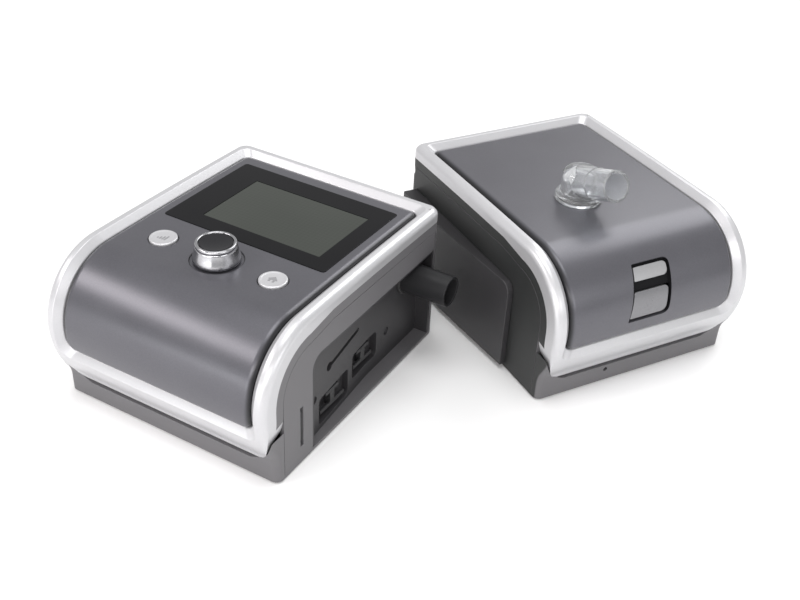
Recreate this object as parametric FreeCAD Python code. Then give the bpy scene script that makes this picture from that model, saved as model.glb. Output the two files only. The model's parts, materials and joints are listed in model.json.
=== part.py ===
import FreeCAD
import Part
import math
import os

# Bedside positive-airway-pressure machine: a flow generator with a screen, a press-and-turn knob and
# two buttons, and a heated humidifier that docks on its right side and stands undocked beside it.
# Millimetres.  Each unit is modelled in its own frame: X to its right, Y from its nose to its rear,
# Z up from the table.  Both are then set out on one table, centred on the origin.

V = FreeCAD.Vector

# ---------------------------------------------------------------- driving dimensions
# Side view shared by both cases
CASE_DEPTH = 208.0          # nose to rear face
CASE_HEIGHT = 106.8         # table to the crest of the top
NOSE_RADIUS = 48.5          # rounding between the top and the front
CHIN_RADIUS = 66.0          # front face below the nose, curving back under
CHIN_BLEND = 20.0           # hollow blend between the chin and the skirt
SKIRT_SETBACK = 13.0        # how far the skirt stands behind the nose
REAR_DROP = 2.3             # fall of the top from the crest to the rear edge
EDGE_ROUND = 5.0            # rounding along the outer edges
REAR_CORNER = 9.0           # upright rear corners, seen from above
DEVICE_WIDTH = 170.0
HUMID_WIDTH = 161.0
WALL = 3.0                  # side and rear walls
FLOOR = 2.0                 # bottom plates
FOOT_HEIGHT = 1.2           # gap between the table and the bottom plates
SEAM = 0.4                  # parting gap between covers
FIT = 0.2                   # gap between a cover and the opening it fills

# Silver frame around the fascia
RIM_WIDTH = 10.0            # seen from above
RIM_REAR = 10.0             # rear member, front to back
RIM_DEPTH = 8.0             # thickness under the ridge
RIM_CHAMFER = 4.5           # slope from the ridge down to the fascia
RIM_FOOT = 14.0             # lower edge at the front
RIM_SILL = 42.5             # upper edge of the front member
RIM_CORNER = 8.0            # corners of the opening at the front
FLANK_HEIGHT = 16.0         # side flank below the crest
FRONT_DEPTH = 19.5          # side flank behind the nose
SHOULDER_RUN = 24.0         # slope where the front flank runs into the side flank
FOOT_CORNER_WIDTH = 21.0    # rounded lower corners of the front member
FOOT_CORNER_HEIGHT = 36.0

# Fascia skin inside the frame
FASCIA_SINK = 2.6           # below the frame's crest
FASCIA_SKIN = 3.0
FASCIA_ROLL = 6.0           # rolled side edges
FASCIA_SKIRT = 10.0         # depth of the turned-down edge

# Controls on the flow generator
CONTROL_GAP = 24.5          # from the row of knob and buttons to the screen's surround
KNOB_HEIGHT = 13.0
KNOB_BASE_RADIUS = 15.4
KNOB_TOP_RADIUS = 13.2
KNOB_CAP_RADIUS = 10.8
KNOB_CAP_THICKNESS = 1.6
KNOB_CAP_DISH = 1.0
KNOB_SHAFT_RADIUS = 3.0
KNOB_TRAVEL = 0.6
MOAT_MARGIN = 1.6           # ring groove round the knob
MOAT_DEPTH = 1.0
BUTTON_PITCH = 43.0         # from the knob to each button
BUTTON_RADIUS = 9.2
BUTTON_PROUD = 1.4
BUTTON_THICKNESS = 3.4
BUTTON_TRAVEL = 0.8
BUTTON_STEM_RADIUS = 2.2
SWITCH_HEIGHT = 1.6

# Screen
LENS_WIDTH = 127.5
LENS_LENGTH = 90.0
LENS_REAR_GAP = 24.5        # behind the surround
LENS_PROUD = 0.4
LENS_THICKNESS = 1.8
LENS_CORNER = 2.5
DISPLAY_WIDTH = 92.4
DISPLAY_LENGTH = 59.0
DISPLAY_LEFT = -41.4
DISPLAY_INSET = 13.5        # from the surround's front edge to the display
DISPLAY_SINK = 0.3
BOARD = 1.6                 # printed circuit boards
UI_BOARD_DROP = 9.2         # control board's top below the fascia
UI_BOARD_INSET = 21.0       # control board's edge inside the case's side

# Docking side of the flow generator
DOCK_FRONT = 50.0
DOCK_TOP = 74.0
DOCK_CORNER = 10.0
DOCK_REAR_MARGIN = 8.5      # behind the dock panel
DOCK_NEAR_DEPTH = 5.0       # recess depth at its front end
DOCK_FAR_DEPTH = 11.0       # recess depth from the bend to the rear
DOCK_BEND = 81.0            # from the front of the recess to the bend
DOCK_SKIN = 2.0
DOCK_LIP = 0.6              # dock panel's edge behind the side cover
POCKET_DEPTH = 6.0
LOW_POCKET = 16.0           # front pocket: behind the dock's front, its length, foot and height
LOW_POCKET_LENGTH = 38.0
LOW_POCKET_FOOT = 7.0
LOW_POCKET_HEIGHT = 21.0
HIGH_POCKET = 60.0          # rear pocket, the same way
HIGH_POCKET_LENGTH = 33.0
HIGH_POCKET_FOOT = 14.0
HIGH_POCKET_HEIGHT = 20.0
POCKET_ROUND = 3.0
CATCH_WIDTH = 5.0
SLIT_FRONT = 29.0           # guide slit: behind the dock's front, length, height and rise
SLIT_RUN = 38.0
SLIT_Z = 46.5
SLIT_RISE = 4.5
SLIT_WIDTH = 3.0
SLIT_EYE = 3.2
SLIT_DEPTH = 1.4
SOCKET_HOLE_RADIUS = 3.0    # two blind locating holes low on the dock panel
SOCKET_HOLE_DEPTH = 1.4
FRONT_HOLE_Y = 60.0
FRONT_HOLE_Z = 32.0
REAR_HOLE_AHEAD = 24.0      # in front of the port
REAR_HOLE_Z = 26.0

# Air path
PORT_SETBACK = 28.0         # outlet in front of the rear face
PORT_Z = 58.8
PORT_RADIUS = 11.0          # 22 mm outlet
PORT_NECK = 10.6            # tube inside the seal and the dock panel
PORT_BORE = 9.0
PORT_REACH = 25.0           # tube beyond the side face
PORT_FLANGE = 2.4
SOCKET_CLEARANCE = 0.05
SOCKET_WALL = 1.2
SOCKET_LENGTH = 30.0

# Card slot
SLOT_Y = 38.2
SLOT_FOOT = 14.0
SLOT_LENGTH = 31.0
SLOT_WIDTH = 3.2
CARD_WIDTH = 24.0
CARD_LENGTH = 32.0
CARD_THICKNESS = 2.1
CARD_RECESS = 0.8

# Blower, silencer and boards
FILTER_ROOM = 10.0          # between the left side cover and the silencer
SILENCER_INSET = 35.0       # silencer inside the right side
SILENCER_FRONT = 100.0
SILENCER_SETBACK = 9.0
SILENCER_TOP = 38.0
FOAM_WIDTH = 24.0
SHELL = 2.0                 # walls of the inner housings
BLOWER_RADIUS = 34.0
BLOWER_HEIGHT = 30.0
BLOWER_X = 4.0
IMPELLER_RADIUS = 22.0
IMPELLER_HEIGHT = 9.0
IMPELLER_BLADES = 9
MOTOR_RADIUS = 13.0
MOTOR_HEIGHT = 12.0
SPINDLE_RADIUS = 1.5
RUNNING = 0.05              # radial clearance of turning and sliding fits
MAIN_BOARD_Z = 12.0
MAIN_BOARD_REAR = 92.0
BOARD_INSET = 19.0          # main board's edge inside the case's side
CAPACITOR_RADIUS = 4.0
CHIP_HALF = 9.0
CONNECTOR_LENGTH = 9.0
CONNECTOR_WIDTH = 6.0
PART_GAP = 3.0
SWITCH_RADIUS = 3.0

# Filter door on the left side
FILTER_SETBACK = 80.0       # door's front edge in front of the rear face
FILTER_LENGTH = 56.0
FILTER_FOOT = 14.0
FILTER_HEIGHT = 42.0
FILTER_CORNER = 4.0
LOUVRES = 6
LOUVRE_GAP = 2.4

# Power inlet on the rear
INLET_INSET = 23.0
INLET_Z = 24.0
INLET_RADIUS = 4.6
INLET_SLEEVE = 1.2
INLET_LENGTH = 12.0

# Humidifier
CHAMBER_WIDTH = 124.0
CHAMBER_FRONT = 34.0
CHAMBER_SETBACK = 44.0      # behind the chamber
CHAMBER_WALL = 2.4
CHAMBER_ROOM = 30.8         # from the chamber's top to the lid's top
CHAMBER_LID = 3.0
GASKET = 1.6
HEATER_RADIUS = 48.0
HEATER_HEIGHT = 4.0
BASE_PLATE = 1.5            # metal bottom of the water tub
FRONT_WALL_TOP = 40.0       # low wall behind the lid's front
OUTLET_X = -10.0
OUTLET_Y = 89.0
ELBOW_FLANGE_RADIUS = 16.5
ELBOW_FLANGE_HEIGHT = 5.0
ELBOW_BODY_RADIUS = 13.0    # upright part above the flange
ELBOW_BODY_HEIGHT = 24.0
ELBOW_CROWN = 6.0           # rounding of its top
ELBOW_RADIUS = 11.0
ELBOW_BORE = 9.0
ELBOW_RISE = 13.0           # where the outlet's axis leaves the upright, above the fascia
ELBOW_REACH = 41.5
ELBOW_TILT = 22.0           # outlet's rise, degrees above level
ELBOW_CUFF = 21.0           # length of the outlet that takes a hose cuff
ELBOW_COLLAR_RADIUS = 11.6  # outlet between the upright and the cuff's seat
COLLAR_WALL = 2.0
LINER = 2.0
HINGE_RADIUS = 3.0
HINGE_PIN = 1.2
HINGE_SETBACK = 3.0         # hinge axis in front of the rear face
KNUCKLES = 5
KNUCKLE_LENGTH = 14.0
KNUCKLE_GAP = 0.4
LATCH_LEFT = -15.0          # window's side edges at its top
LATCH_RIGHT = 15.0
LATCH_LEFT_FLARE = -6.0     # how far each edge moves down to the foot
LATCH_RIGHT_FLARE = -2.5
LATCH_CORNER = 5.0
LATCH_MARGIN = 1.2          # between the window and the plates in it
LATCH_SINK = 1.2
LATCH_TOP = 94.0
LATCH_GAP_TOP = 84.2
LATCH_GAP_FOOT = 77.8
LATCH_FOOT = 55.5
LATCH_THICKNESS = 2.0
BLOCK_NEAR = 4.5            # docking block stands proud of the side
BLOCK_FAR = 10.5
BLOCK_FRONT = 54.0
BLOCK_ROOM = 0.5            # between the docking block and the recess that takes it
SKIRT_HOLE_X = -24.0
SKIRT_HOLE_RADIUS = 1.6

# Feet and screws
PAD_RADIUS = 7.0
PAD_SEAT = 1.0
PAD_INSET = 20.0
SCREW_RADIUS = 1.8
SCREW_HEAD_RADIUS = 3.2
SCREW_LENGTH = 5.5
SCREW_INSET = 26.0
SCREW_FRONT = 65.0
SCREW_SETBACK = 48.0        # rear screws in front of the rear face

# Layout of the two units on the table
HUMID_TURN = 57.5           # degrees, counter-clockwise from above
UNIT_GAP = 24.07            # from the humidifier's side to the other unit's rear corner
UNIT_ALONG = 114.44         # place of that corner along the humidifier's side

# ---------------------------------------------------------------- derived places
NOSE_Z = CASE_HEIGHT - NOSE_RADIUS
TOP_RUN = CASE_DEPTH - NOSE_RADIUS
CROWN_RADIUS = (TOP_RUN ** 2 + REAR_DROP ** 2) / (2.0 * REAR_DROP)
FLOOR_TOP = FOOT_HEIGHT + FLOOR
HEAD_SEAT = FLOOR_TOP - 0.6
REAR_INNER = CASE_DEPTH - WALL
COVER_REAR = CASE_DEPTH - DOCK_REAR_MARGIN + SEAM
MOTION_ROOM = 0.3           # gap kept round moving pieces
DEVICE_HALF = DEVICE_WIDTH / 2.0
SIDE_INNER = DEVICE_HALF - WALL
HUMID_HALF = HUMID_WIDTH / 2.0
LENS_FRONT = CASE_DEPTH - LENS_REAR_GAP - LENS_LENGTH
CONTROL_ROW = LENS_FRONT - CONTROL_GAP
DISPLAY_FRONT = LENS_FRONT + DISPLAY_INSET
UI_BOARD_HALF = DEVICE_HALF - UI_BOARD_INSET
PORT_Y = CASE_DEPTH - PORT_SETBACK
REAR_HOLE_Y = PORT_Y - REAR_HOLE_AHEAD
SILENCER_LEFT = -SIDE_INNER + FILTER_ROOM
SILENCER_RIGHT = DEVICE_HALF - SILENCER_INSET
SILENCER_REAR = CASE_DEPTH - SILENCER_SETBACK
FILTER_FRONT = CASE_DEPTH - FILTER_SETBACK
INLET_X = DEVICE_HALF - INLET_INSET
CHAMBER_TOP = CASE_HEIGHT - CHAMBER_ROOM
CHAMBER_LENGTH = CASE_DEPTH - CHAMBER_FRONT - CHAMBER_SETBACK
SCREW_REAR = CASE_DEPTH - SCREW_SETBACK
TURN = math.radians(HUMID_TURN)
UNIT_SIDE = HUMID_HALF + UNIT_GAP
HUMID_X = DEVICE_HALF + UNIT_SIDE * math.cos(TURN) + UNIT_ALONG * math.sin(TURN)
HUMID_Y = CASE_DEPTH + UNIT_SIDE * math.sin(TURN) - UNIT_ALONG * math.cos(TURN)


def top_height(y, inset):
    """Height of the crowned top at depth y, a given inset under the surface."""
    radius = CROWN_RADIUS - inset
    return CASE_HEIGHT - CROWN_RADIUS + math.sqrt(radius ** 2 - (y - NOSE_RADIUS) ** 2)


FASCIA_Z = top_height(CONTROL_ROW, FASCIA_SINK)
UI_BOARD_TOP = FASCIA_Z - UI_BOARD_DROP
HINGE_Y = CASE_DEPTH - HINGE_SETBACK


# ---------------------------------------------------------------- basic solids
def block(x0, x1, y0, y1, z0, z1):
    return Part.makeBox(x1 - x0, y1 - y0, z1 - z0, V(x0, y0, z0))


def rod_x(radius, y, z, x0, x1):
    return Part.makeCylinder(radius, x1 - x0, V(x0, y, z), V(1, 0, 0))


def rod_y(radius, x, z, y0, y1):
    return Part.makeCylinder(radius, y1 - y0, V(x, y0, z), V(0, 1, 0))


def rod_z(radius, x, y, z0, z1):
    return Part.makeCylinder(radius, z1 - z0, V(x, y, z0), V(0, 0, 1))


def tube_z(outer, inner, x, y, z0, z1):
    return rod_z(outer, x, y, z0, z1).cut(rod_z(inner, x, y, z0 - 1.0, z1 + 1.0))


def tube_x(outer, inner, y, z, x0, x1):
    return rod_x(outer, y, z, x0, x1).cut(rod_x(inner, y, z, x0 - 1.0, x1 + 1.0))


def join(solids):
    first = solids[0]
    if len(solids) == 1:
        return first
    return first.multiFuse(solids[1:]).removeSplitter()


def edges_along(shape, axis, test):
    """Straight edges parallel to an axis whose middle passes a test."""
    found = []
    for edge in shape.Edges:
        start = edge.Vertexes[0].Point
        end = edge.Vertexes[-1].Point
        run = end.sub(start)
        if run.Length < 1e-6:
            continue
        straight = abs(abs(run.dot(axis)) / run.Length - 1.0) < 1e-6
        if straight and test(start.add(end).multiply(0.5)):
            found.append(edge)
    return found


def rounded_block(x0, x1, y0, y1, z0, z1, radius, axis):
    """Box whose edges along one axis are rounded."""
    solid = block(x0, x1, y0, y1, z0, z1)
    return solid.makeFillet(radius, edges_along(solid, axis, lambda middle: True))


def revolve_profile(points, x, y):
    """Solid turned about the upright axis at x, y from (radius, height) points."""
    corners = [V(x + radius, y, height) for radius, height in points]
    face = Part.Face(Part.makePolygon(corners + corners[:1]))
    return face.revolve(V(x, y, 0), V(0, 0, 1), 360.0)


def profile_prism(edges, half_width):
    """Side-view outline at x = 0 spread to both sides."""
    face = Part.Face(Part.Wire(Part.__sortEdges__(edges)))
    face.translate(V(-half_width, 0, 0))
    return face.extrude(V(2.0 * half_width, 0, 0))


def side_arc(centre_y, centre_z, radius, start, end):
    """Arc in the side view between two angles in degrees from the rear direction."""
    points = []
    for angle in (start, 0.5 * (start + end), end):
        turn = math.radians(angle)
        points.append(V(0, centre_y + radius * math.cos(turn), centre_z + radius * math.sin(turn)))
    return Part.Arc(points[0], points[1], points[2]).toShape()


def side_line(y0, z0, y1, z1):
    return Part.makeLine(V(0, y0, z0), V(0, y1, z1))


# ---------------------------------------------------------------- shared case shape
def case_edges(inset, rear, foot):
    """Outline of the case in side view, inset under the top and front."""
    blend_reach = SKIRT_SETBACK - CHIN_BLEND
    reach = CHIN_RADIUS - blend_reach
    across = math.sqrt((CHIN_RADIUS + CHIN_BLEND) ** 2 - reach ** 2)
    blend_z = NOSE_Z - across
    chin_angle = math.degrees(math.atan2(across, reach))
    crown_z = CASE_HEIGHT - CROWN_RADIUS
    crown_angle = math.degrees(math.acos((rear - NOSE_RADIUS) / (CROWN_RADIUS - inset)))
    skirt = SKIRT_SETBACK + inset
    return [
        side_arc(NOSE_RADIUS, crown_z, CROWN_RADIUS - inset, crown_angle, 90.0),
        side_arc(NOSE_RADIUS, NOSE_Z, NOSE_RADIUS - inset, 90.0, 180.0),
        side_arc(CHIN_RADIUS, NOSE_Z, CHIN_RADIUS - inset, 180.0, 180.0 + chin_angle),
        side_arc(blend_reach, blend_z, CHIN_BLEND + inset, chin_angle, 0.0),
        side_line(skirt, blend_z, skirt, foot),
        side_line(skirt, foot, rear, foot),
        side_line(rear, foot, rear, top_height(rear, inset)),
    ]


def case_prism(inset, half_width, rear=CASE_DEPTH, foot=FOOT_HEIGHT):
    return profile_prism(case_edges(inset, rear, foot), half_width)


def is_outline_edge(edge, half_width):
    """True for the edges of a prism's side outline, without the bottom and rear lines."""
    box = edge.BoundBox
    if box.XLength > 0.01 or abs(abs(box.XMax) - half_width) > 0.01:
        return False
    flat_foot = box.ZLength < 0.01 and box.ZMin < CASE_HEIGHT / 2.0
    upright_rear = box.YLength < 0.01 and box.YMin > CASE_DEPTH / 2.0
    return not (flat_foot or upright_rear)


def case_block(width):
    """Whole outer form of a unit with its rounded edges."""
    solid = case_prism(0.0, width / 2.0)
    rear_sides = edges_along(solid, V(0, 0, 1), lambda m: m.y > CASE_DEPTH - 1.0)
    solid = solid.makeFillet(REAR_CORNER, rear_sides)
    rim = [edge for edge in solid.Edges if is_outline_edge(edge, width / 2.0)]
    rear_top = edges_along(solid, V(1, 0, 0), lambda m: m.y > CASE_DEPTH - 1.0 and m.z > NOSE_Z)
    return solid.makeFillet(EDGE_ROUND, rim + rear_top)


def seam_prism(gap, half_width):
    """Everything behind and below the line where the frame's flanks end."""
    inset = FRONT_DEPTH + gap
    step_y = NOSE_RADIUS + SHOULDER_RUN
    rear = CASE_DEPTH + 5.0
    step_z = top_height(step_y, FLANK_HEIGHT + gap)
    flank_radius = CROWN_RADIUS - FLANK_HEIGHT - gap
    crown_z = CASE_HEIGHT - CROWN_RADIUS
    start = math.degrees(math.acos((rear - NOSE_RADIUS) / flank_radius))
    end = math.degrees(math.acos(SHOULDER_RUN / flank_radius))
    edges = [
        side_line(inset, -5.0, inset, NOSE_Z),
        side_arc(NOSE_RADIUS, NOSE_Z, NOSE_RADIUS - inset, 180.0, 90.0),
        side_line(NOSE_RADIUS, CASE_HEIGHT - inset, step_y, step_z),
        side_arc(NOSE_RADIUS, crown_z, flank_radius, end, start),
        side_line(rear, top_height(rear, FLANK_HEIGHT + gap), rear, -5.0),
        side_line(rear, -5.0, inset, -5.0),
    ]
    return profile_prism(edges, half_width)


def foot_corner(half_width, sign):
    """Solid outside the rounded lower corner of the frame's front member."""
    centre_x = half_width - FOOT_CORNER_WIDTH
    centre_z = RIM_FOOT + FOOT_CORNER_HEIGHT
    steps = [math.radians(angle) for angle in (0.0, 45.0, 90.0)]
    points = []
    for turn in steps:
        x = centre_x + FOOT_CORNER_WIDTH * math.sin(turn)
        z = centre_z - FOOT_CORNER_HEIGHT * math.cos(turn)
        points.append(V(sign * x, -5.0, z))
    out = V(sign * (half_width + 5.0), -5.0, centre_z)
    low = V(sign * (half_width + 5.0), -5.0, RIM_FOOT)
    edges = [
        Part.Arc(points[0], points[1], points[2]).toShape(),
        Part.makeLine(points[2], out),
        Part.makeLine(out, low),
        Part.makeLine(low, points[0]),
    ]
    face = Part.Face(Part.Wire(Part.__sortEdges__(edges)))
    return face.extrude(V(0, FRONT_DEPTH + 10.0, 0))


def frame_envelope(width):
    """Outer form of the silver frame before it is opened and hollowed."""
    solid = case_block(width)
    solid = solid.cut(seam_prism(0.0, width))
    solid = solid.cut(block(-width, width, -5.0, FRONT_DEPTH + 5.0, 0.0, RIM_FOOT))
    for sign in (-1.0, 1.0):
        solid = solid.cut(foot_corner(width / 2.0, sign))
    return solid


def frame_opening(width, margin):
    """Block that opens the frame for the fascia, smaller all round by a margin."""
    half = width / 2.0 - RIM_WIDTH - margin
    rear = CASE_DEPTH - RIM_REAR - margin
    solid = block(-half, half, -10.0, rear, RIM_SILL + margin, CASE_HEIGHT + 10.0)
    corners = edges_along(solid, V(0, 1, 0), lambda m: m.z < NOSE_Z)
    return solid.makeFillet(RIM_CORNER - margin, corners)


def rounded_outline(y, half, sill, top, corner):
    """Front-view outline at depth y with rounded lower corners."""
    side = half - corner
    low = sill + corner
    turn = corner * math.sqrt(0.5)
    right = Part.Arc(V(side, y, sill), V(side + turn, y, low - turn), V(half, y, low)).toShape()
    left = Part.Arc(V(-half, y, low), V(-side - turn, y, low - turn), V(-side, y, sill)).toShape()
    lines = [
        Part.makeLine(V(-side, y, sill), V(side, y, sill)),
        Part.makeLine(V(half, y, low), V(half, y, top)),
        Part.makeLine(V(half, y, top), V(-half, y, top)),
        Part.makeLine(V(-half, y, top), V(-half, y, low)),
    ]
    return Part.Wire(Part.__sortEdges__([right, left] + lines))


def ridge_wedge(half, centre_y, centre_z, radius, start, sweep):
    """Sloped inner side of the ridge along one arc of the side view, on both sides."""
    over = 2.0
    inner = radius - RIM_CHAMFER
    outer = radius + over
    wedges = []
    for sign in (-1.0, 1.0):
        corners = []
        for x, reach in ((half, inner), (half, outer), (half + RIM_CHAMFER + over, outer)):
            turn = math.radians(start)
            place = V(sign * x, centre_y + reach * math.cos(turn), centre_z + reach * math.sin(turn))
            corners.append(place)
        face = Part.Face(Part.makePolygon(corners + corners[:1]))
        wedges.append(face.revolve(V(0, centre_y, centre_z), V(1, 0, 0), sweep))
    return wedges


def ridge_tool(width):
    """Frame opening with sloped inner sides: the flat opening plus wedges along its rim."""
    half = width / 2.0 - RIM_WIDTH
    rear = CASE_DEPTH - RIM_REAR
    over = 2.0
    crown_z = CASE_HEIGHT - CROWN_RADIUS
    rear_angle = math.degrees(math.acos((CASE_DEPTH + 5.0 - NOSE_RADIUS) / CROWN_RADIUS))
    grown = RIM_CHAMFER + over
    mouth = rounded_outline(-over, half + grown, RIM_SILL - grown, NOSE_Z, RIM_CORNER + grown)
    throat = rounded_outline(RIM_CHAMFER, half, RIM_SILL, NOSE_Z, RIM_CORNER)
    long_opening = block(-half, half, -10.0, CASE_DEPTH + 5.0, RIM_SILL, CASE_HEIGHT + 10.0)
    corners = edges_along(long_opening, V(0, 1, 0), lambda m: m.z < NOSE_Z)
    parts = [long_opening.makeFillet(RIM_CORNER, corners), Part.makeLoft([mouth, throat], True, True)]
    parts += ridge_wedge(half, NOSE_RADIUS, NOSE_Z, NOSE_RADIUS, 90.0, 90.0)
    parts += ridge_wedge(half, NOSE_RADIUS, crown_z, CROWN_RADIUS, rear_angle, 90.0 - rear_angle)
    along = parts[0].multiFuse(parts[1:])
    rear_z = top_height(rear, 0.0)
    corners = [V(-width, rear, rear_z - RIM_CHAMFER), V(-width, rear, rear_z + over)]
    corners.append(V(-width, rear + grown, rear_z + over))
    slope = Part.Face(Part.makePolygon(corners + corners[:1])).extrude(V(2.0 * width, 0, 0))
    across = block(-width, width, -10.0, rear, 0.0, CASE_HEIGHT + 10.0).fuse(slope)
    return along.common(across)


def silver_frame(width):
    """Closed ring: rear member, two side members and the tall front member."""
    solid = frame_envelope(width).cut(ridge_tool(width))
    return solid.cut(case_prism(RIM_DEPTH, width / 2.0 - WALL, CASE_DEPTH - RIM_DEPTH, -5.0))


def fascia_skin(width):
    """Curved cover with rolled edges that fills the frame's opening."""
    half = width / 2.0 - RIM_WIDTH - FIT
    rear = CASE_DEPTH - RIM_REAR - FIT
    solid = case_prism(FASCIA_SINK, half, rear)
    rim = [edge for edge in solid.Edges if is_outline_edge(edge, half)]
    rim += edges_along(solid, V(1, 0, 0), lambda m: m.y > rear - 1.0 and m.z > NOSE_Z)
    solid = solid.makeFillet(FASCIA_ROLL, rim)
    solid = solid.common(frame_opening(width, FIT))
    inner = case_prism(FASCIA_SINK + FASCIA_SKIN, half - FASCIA_SKIN, rear - FASCIA_SKIN, -5.0)
    solid = solid.cut(inner)
    return solid.cut(case_prism(FASCIA_SINK + FASCIA_SKIRT, width, CASE_DEPTH + 5.0, -5.0))


def skin_band(outer, inner, tool):
    """Part of a tool block that lies between two insets under the case's surface."""
    solid = tool.common(case_prism(outer, DEVICE_WIDTH, CASE_DEPTH + 5.0, -5.0))
    return solid.cut(case_prism(inner, DEVICE_WIDTH + 10.0, CASE_DEPTH + 10.0, -10.0))


def skirt_front(width):
    """Dark strip under the frame, with the two corners outside its rounded ends."""
    solid = case_block(width).common(block(-width, width, -5.0, FRONT_DEPTH, 0.0, RIM_FOOT + 30.0))
    return solid.cut(frame_envelope(width))


def bottom_plate(width):
    """Flat floor over the whole outline."""
    return case_block(width).common(block(-width, width, -5.0, CASE_DEPTH + 5.0, 0.0, FLOOR_TOP))


def foot_seats(width):
    """Cutters of the shallow seats of the rubber feet."""
    return [rod_z(PAD_RADIUS, x, y, 0.0, FOOT_HEIGHT + PAD_SEAT) for x, y in foot_places(width)]


def foot_places(width):
    side = width / 2.0 - PAD_INSET
    return [(x, y) for x in (-side, side) for y in (SKIRT_SETBACK + PAD_INSET, CASE_DEPTH - PAD_INSET)]


def rubber_feet(width):
    feet = []
    for x, y in foot_places(width):
        pad = rod_z(PAD_RADIUS, x, y, 0.0, FOOT_HEIGHT + PAD_SEAT)
        rim = [edge for edge in pad.Edges if edge.BoundBox.ZMax < 0.01]
        feet.append(pad.makeFillet(0.4, rim))
    return Part.makeCompound(feet)


def screw_places(width):
    side = width / 2.0 - SCREW_INSET
    return [(x, y) for x in (-side, side) for y in (SCREW_FRONT, SCREW_REAR)]


def housing_screws(width):
    screws = []
    for x, y in screw_places(width):
        head = rod_z(SCREW_HEAD_RADIUS, x, y, FOOT_HEIGHT, HEAD_SEAT)
        shank = rod_z(SCREW_RADIUS, x, y, HEAD_SEAT, FLOOR_TOP + SCREW_LENGTH)
        screws.append(join([head, shank]))
    return Part.makeCompound(screws)


def screw_bosses(width):
    """Bosses on the floor that take the screws, and the cutter for their holes."""
    bosses = []
    holes = []
    for x, y in screw_places(width):
        bosses.append(rod_z(SCREW_RADIUS + 2.4, x, y, FOOT_HEIGHT, FLOOR_TOP + SCREW_LENGTH))
        holes.append(rod_z(SCREW_RADIUS, x, y, 0.0, FLOOR_TOP + SCREW_LENGTH + 1.0))
        holes.append(rod_z(SCREW_HEAD_RADIUS, x, y, 0.0, HEAD_SEAT))
    return bosses, holes


# ---------------------------------------------------------------- flow generator: covers
COVER_FRONT = FRONT_DEPTH + SEAM
COVER_END = CASE_DEPTH - DOCK_REAR_MARGIN
BOARD_POST = 3.0
BOARD_HALF = DEVICE_HALF - BOARD_INSET
BOARD_FRONT = 26.0


def main_board_posts():
    side = BOARD_HALF - BOARD_POST - 1.0
    ends = (BOARD_FRONT + BOARD_POST + 1.0, MAIN_BOARD_REAR - BOARD_POST - 1.0)
    return [(x, y) for x in (-side, side) for y in ends]


def device_base():
    """Bottom plate with the front skirt, the rear wall, board posts and screw bosses."""
    rear = case_block(DEVICE_WIDTH).common(seam_prism(SEAM, DEVICE_WIDTH))
    rear = rear.common(block(-DEVICE_WIDTH, DEVICE_WIDTH, COVER_REAR, CASE_DEPTH + 5.0, 0.0, CASE_HEIGHT))
    inner = SIDE_INNER - 2.0
    rear = rear.cut(block(-inner, inner, COVER_REAR - 5.0, REAR_INNER, FLOOR_TOP, CASE_HEIGHT))
    bosses, holes = screw_bosses(DEVICE_WIDTH)
    posts = [rod_z(BOARD_POST, x, y, FOOT_HEIGHT, MAIN_BOARD_Z) for x, y in main_board_posts()]
    solid = join([bottom_plate(DEVICE_WIDTH), skirt_front(DEVICE_WIDTH), rear] + posts + bosses)
    inlet = rod_y(INLET_RADIUS + INLET_SLEEVE, INLET_X, INLET_Z, REAR_INNER - 5.0, CASE_DEPTH + 5.0)
    return solid.cut(inlet.multiFuse(holes + foot_seats(DEVICE_WIDTH)))


def side_cover(width, sign):
    """Flat side wall between the frame's flank, the skirt and the rear wall."""
    half = width / 2.0
    low = min(sign * (half - WALL), sign * (half + 1.0))
    high = max(sign * (half - WALL), sign * (half + 1.0))
    slab = block(low, high, COVER_FRONT, COVER_END, FLOOR_TOP, CASE_HEIGHT)
    return case_block(width).common(seam_prism(SEAM, width)).common(slab)


def dock_window(margin, x0, x1):
    """Docking window seen from the side, smaller all round by a margin."""
    solid = block(x0, x1, DOCK_FRONT + margin, COVER_END - margin, FLOOR_TOP, DOCK_TOP - margin)
    corner = edges_along(solid, V(1, 0, 0), lambda m: m.y < PORT_Y - 50.0 and m.z > PORT_Z)
    return solid.makeFillet(DOCK_CORNER - margin, corner)


def right_side_cover():
    solid = side_cover(DEVICE_WIDTH, 1.0)
    window = dock_window(0.0, SIDE_INNER - 1.0, DEVICE_HALF + 1.0)
    open_end = block(SIDE_INNER - 1.0, DEVICE_HALF + 1.0, COVER_END - 1.0, COVER_END + 1.0, 0.0, DOCK_TOP)
    window = window.fuse(open_end)
    half_slot = SLOT_WIDTH / 2.0
    slot = block(SIDE_INNER - 1.0, DEVICE_HALF + 1.0, SLOT_Y - half_slot, SLOT_Y + half_slot,
                 SLOT_FOOT, SLOT_FOOT + SLOT_LENGTH)
    return solid.cut(window).cut(slot)


def filter_window(margin, x0, x1):
    front = FILTER_FRONT + margin
    rear = FILTER_FRONT + FILTER_LENGTH - margin
    foot = FILTER_FOOT + margin
    top = FILTER_FOOT + FILTER_HEIGHT - margin
    return rounded_block(x0, x1, front, rear, foot, top, FILTER_CORNER - margin, V(1, 0, 0))


def left_side_cover():
    window = filter_window(0.0, -DEVICE_HALF - 1.0, -SIDE_INNER + 1.0)
    return side_cover(DEVICE_WIDTH, -1.0).cut(window)


def recess_depth(y):
    """How deep the docking recess is at depth y."""
    share = min(max((y - DOCK_FRONT) / DOCK_BEND, 0.0), 1.0)
    return DOCK_NEAR_DEPTH + share * (DOCK_FAR_DEPTH - DOCK_NEAR_DEPTH)


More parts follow.
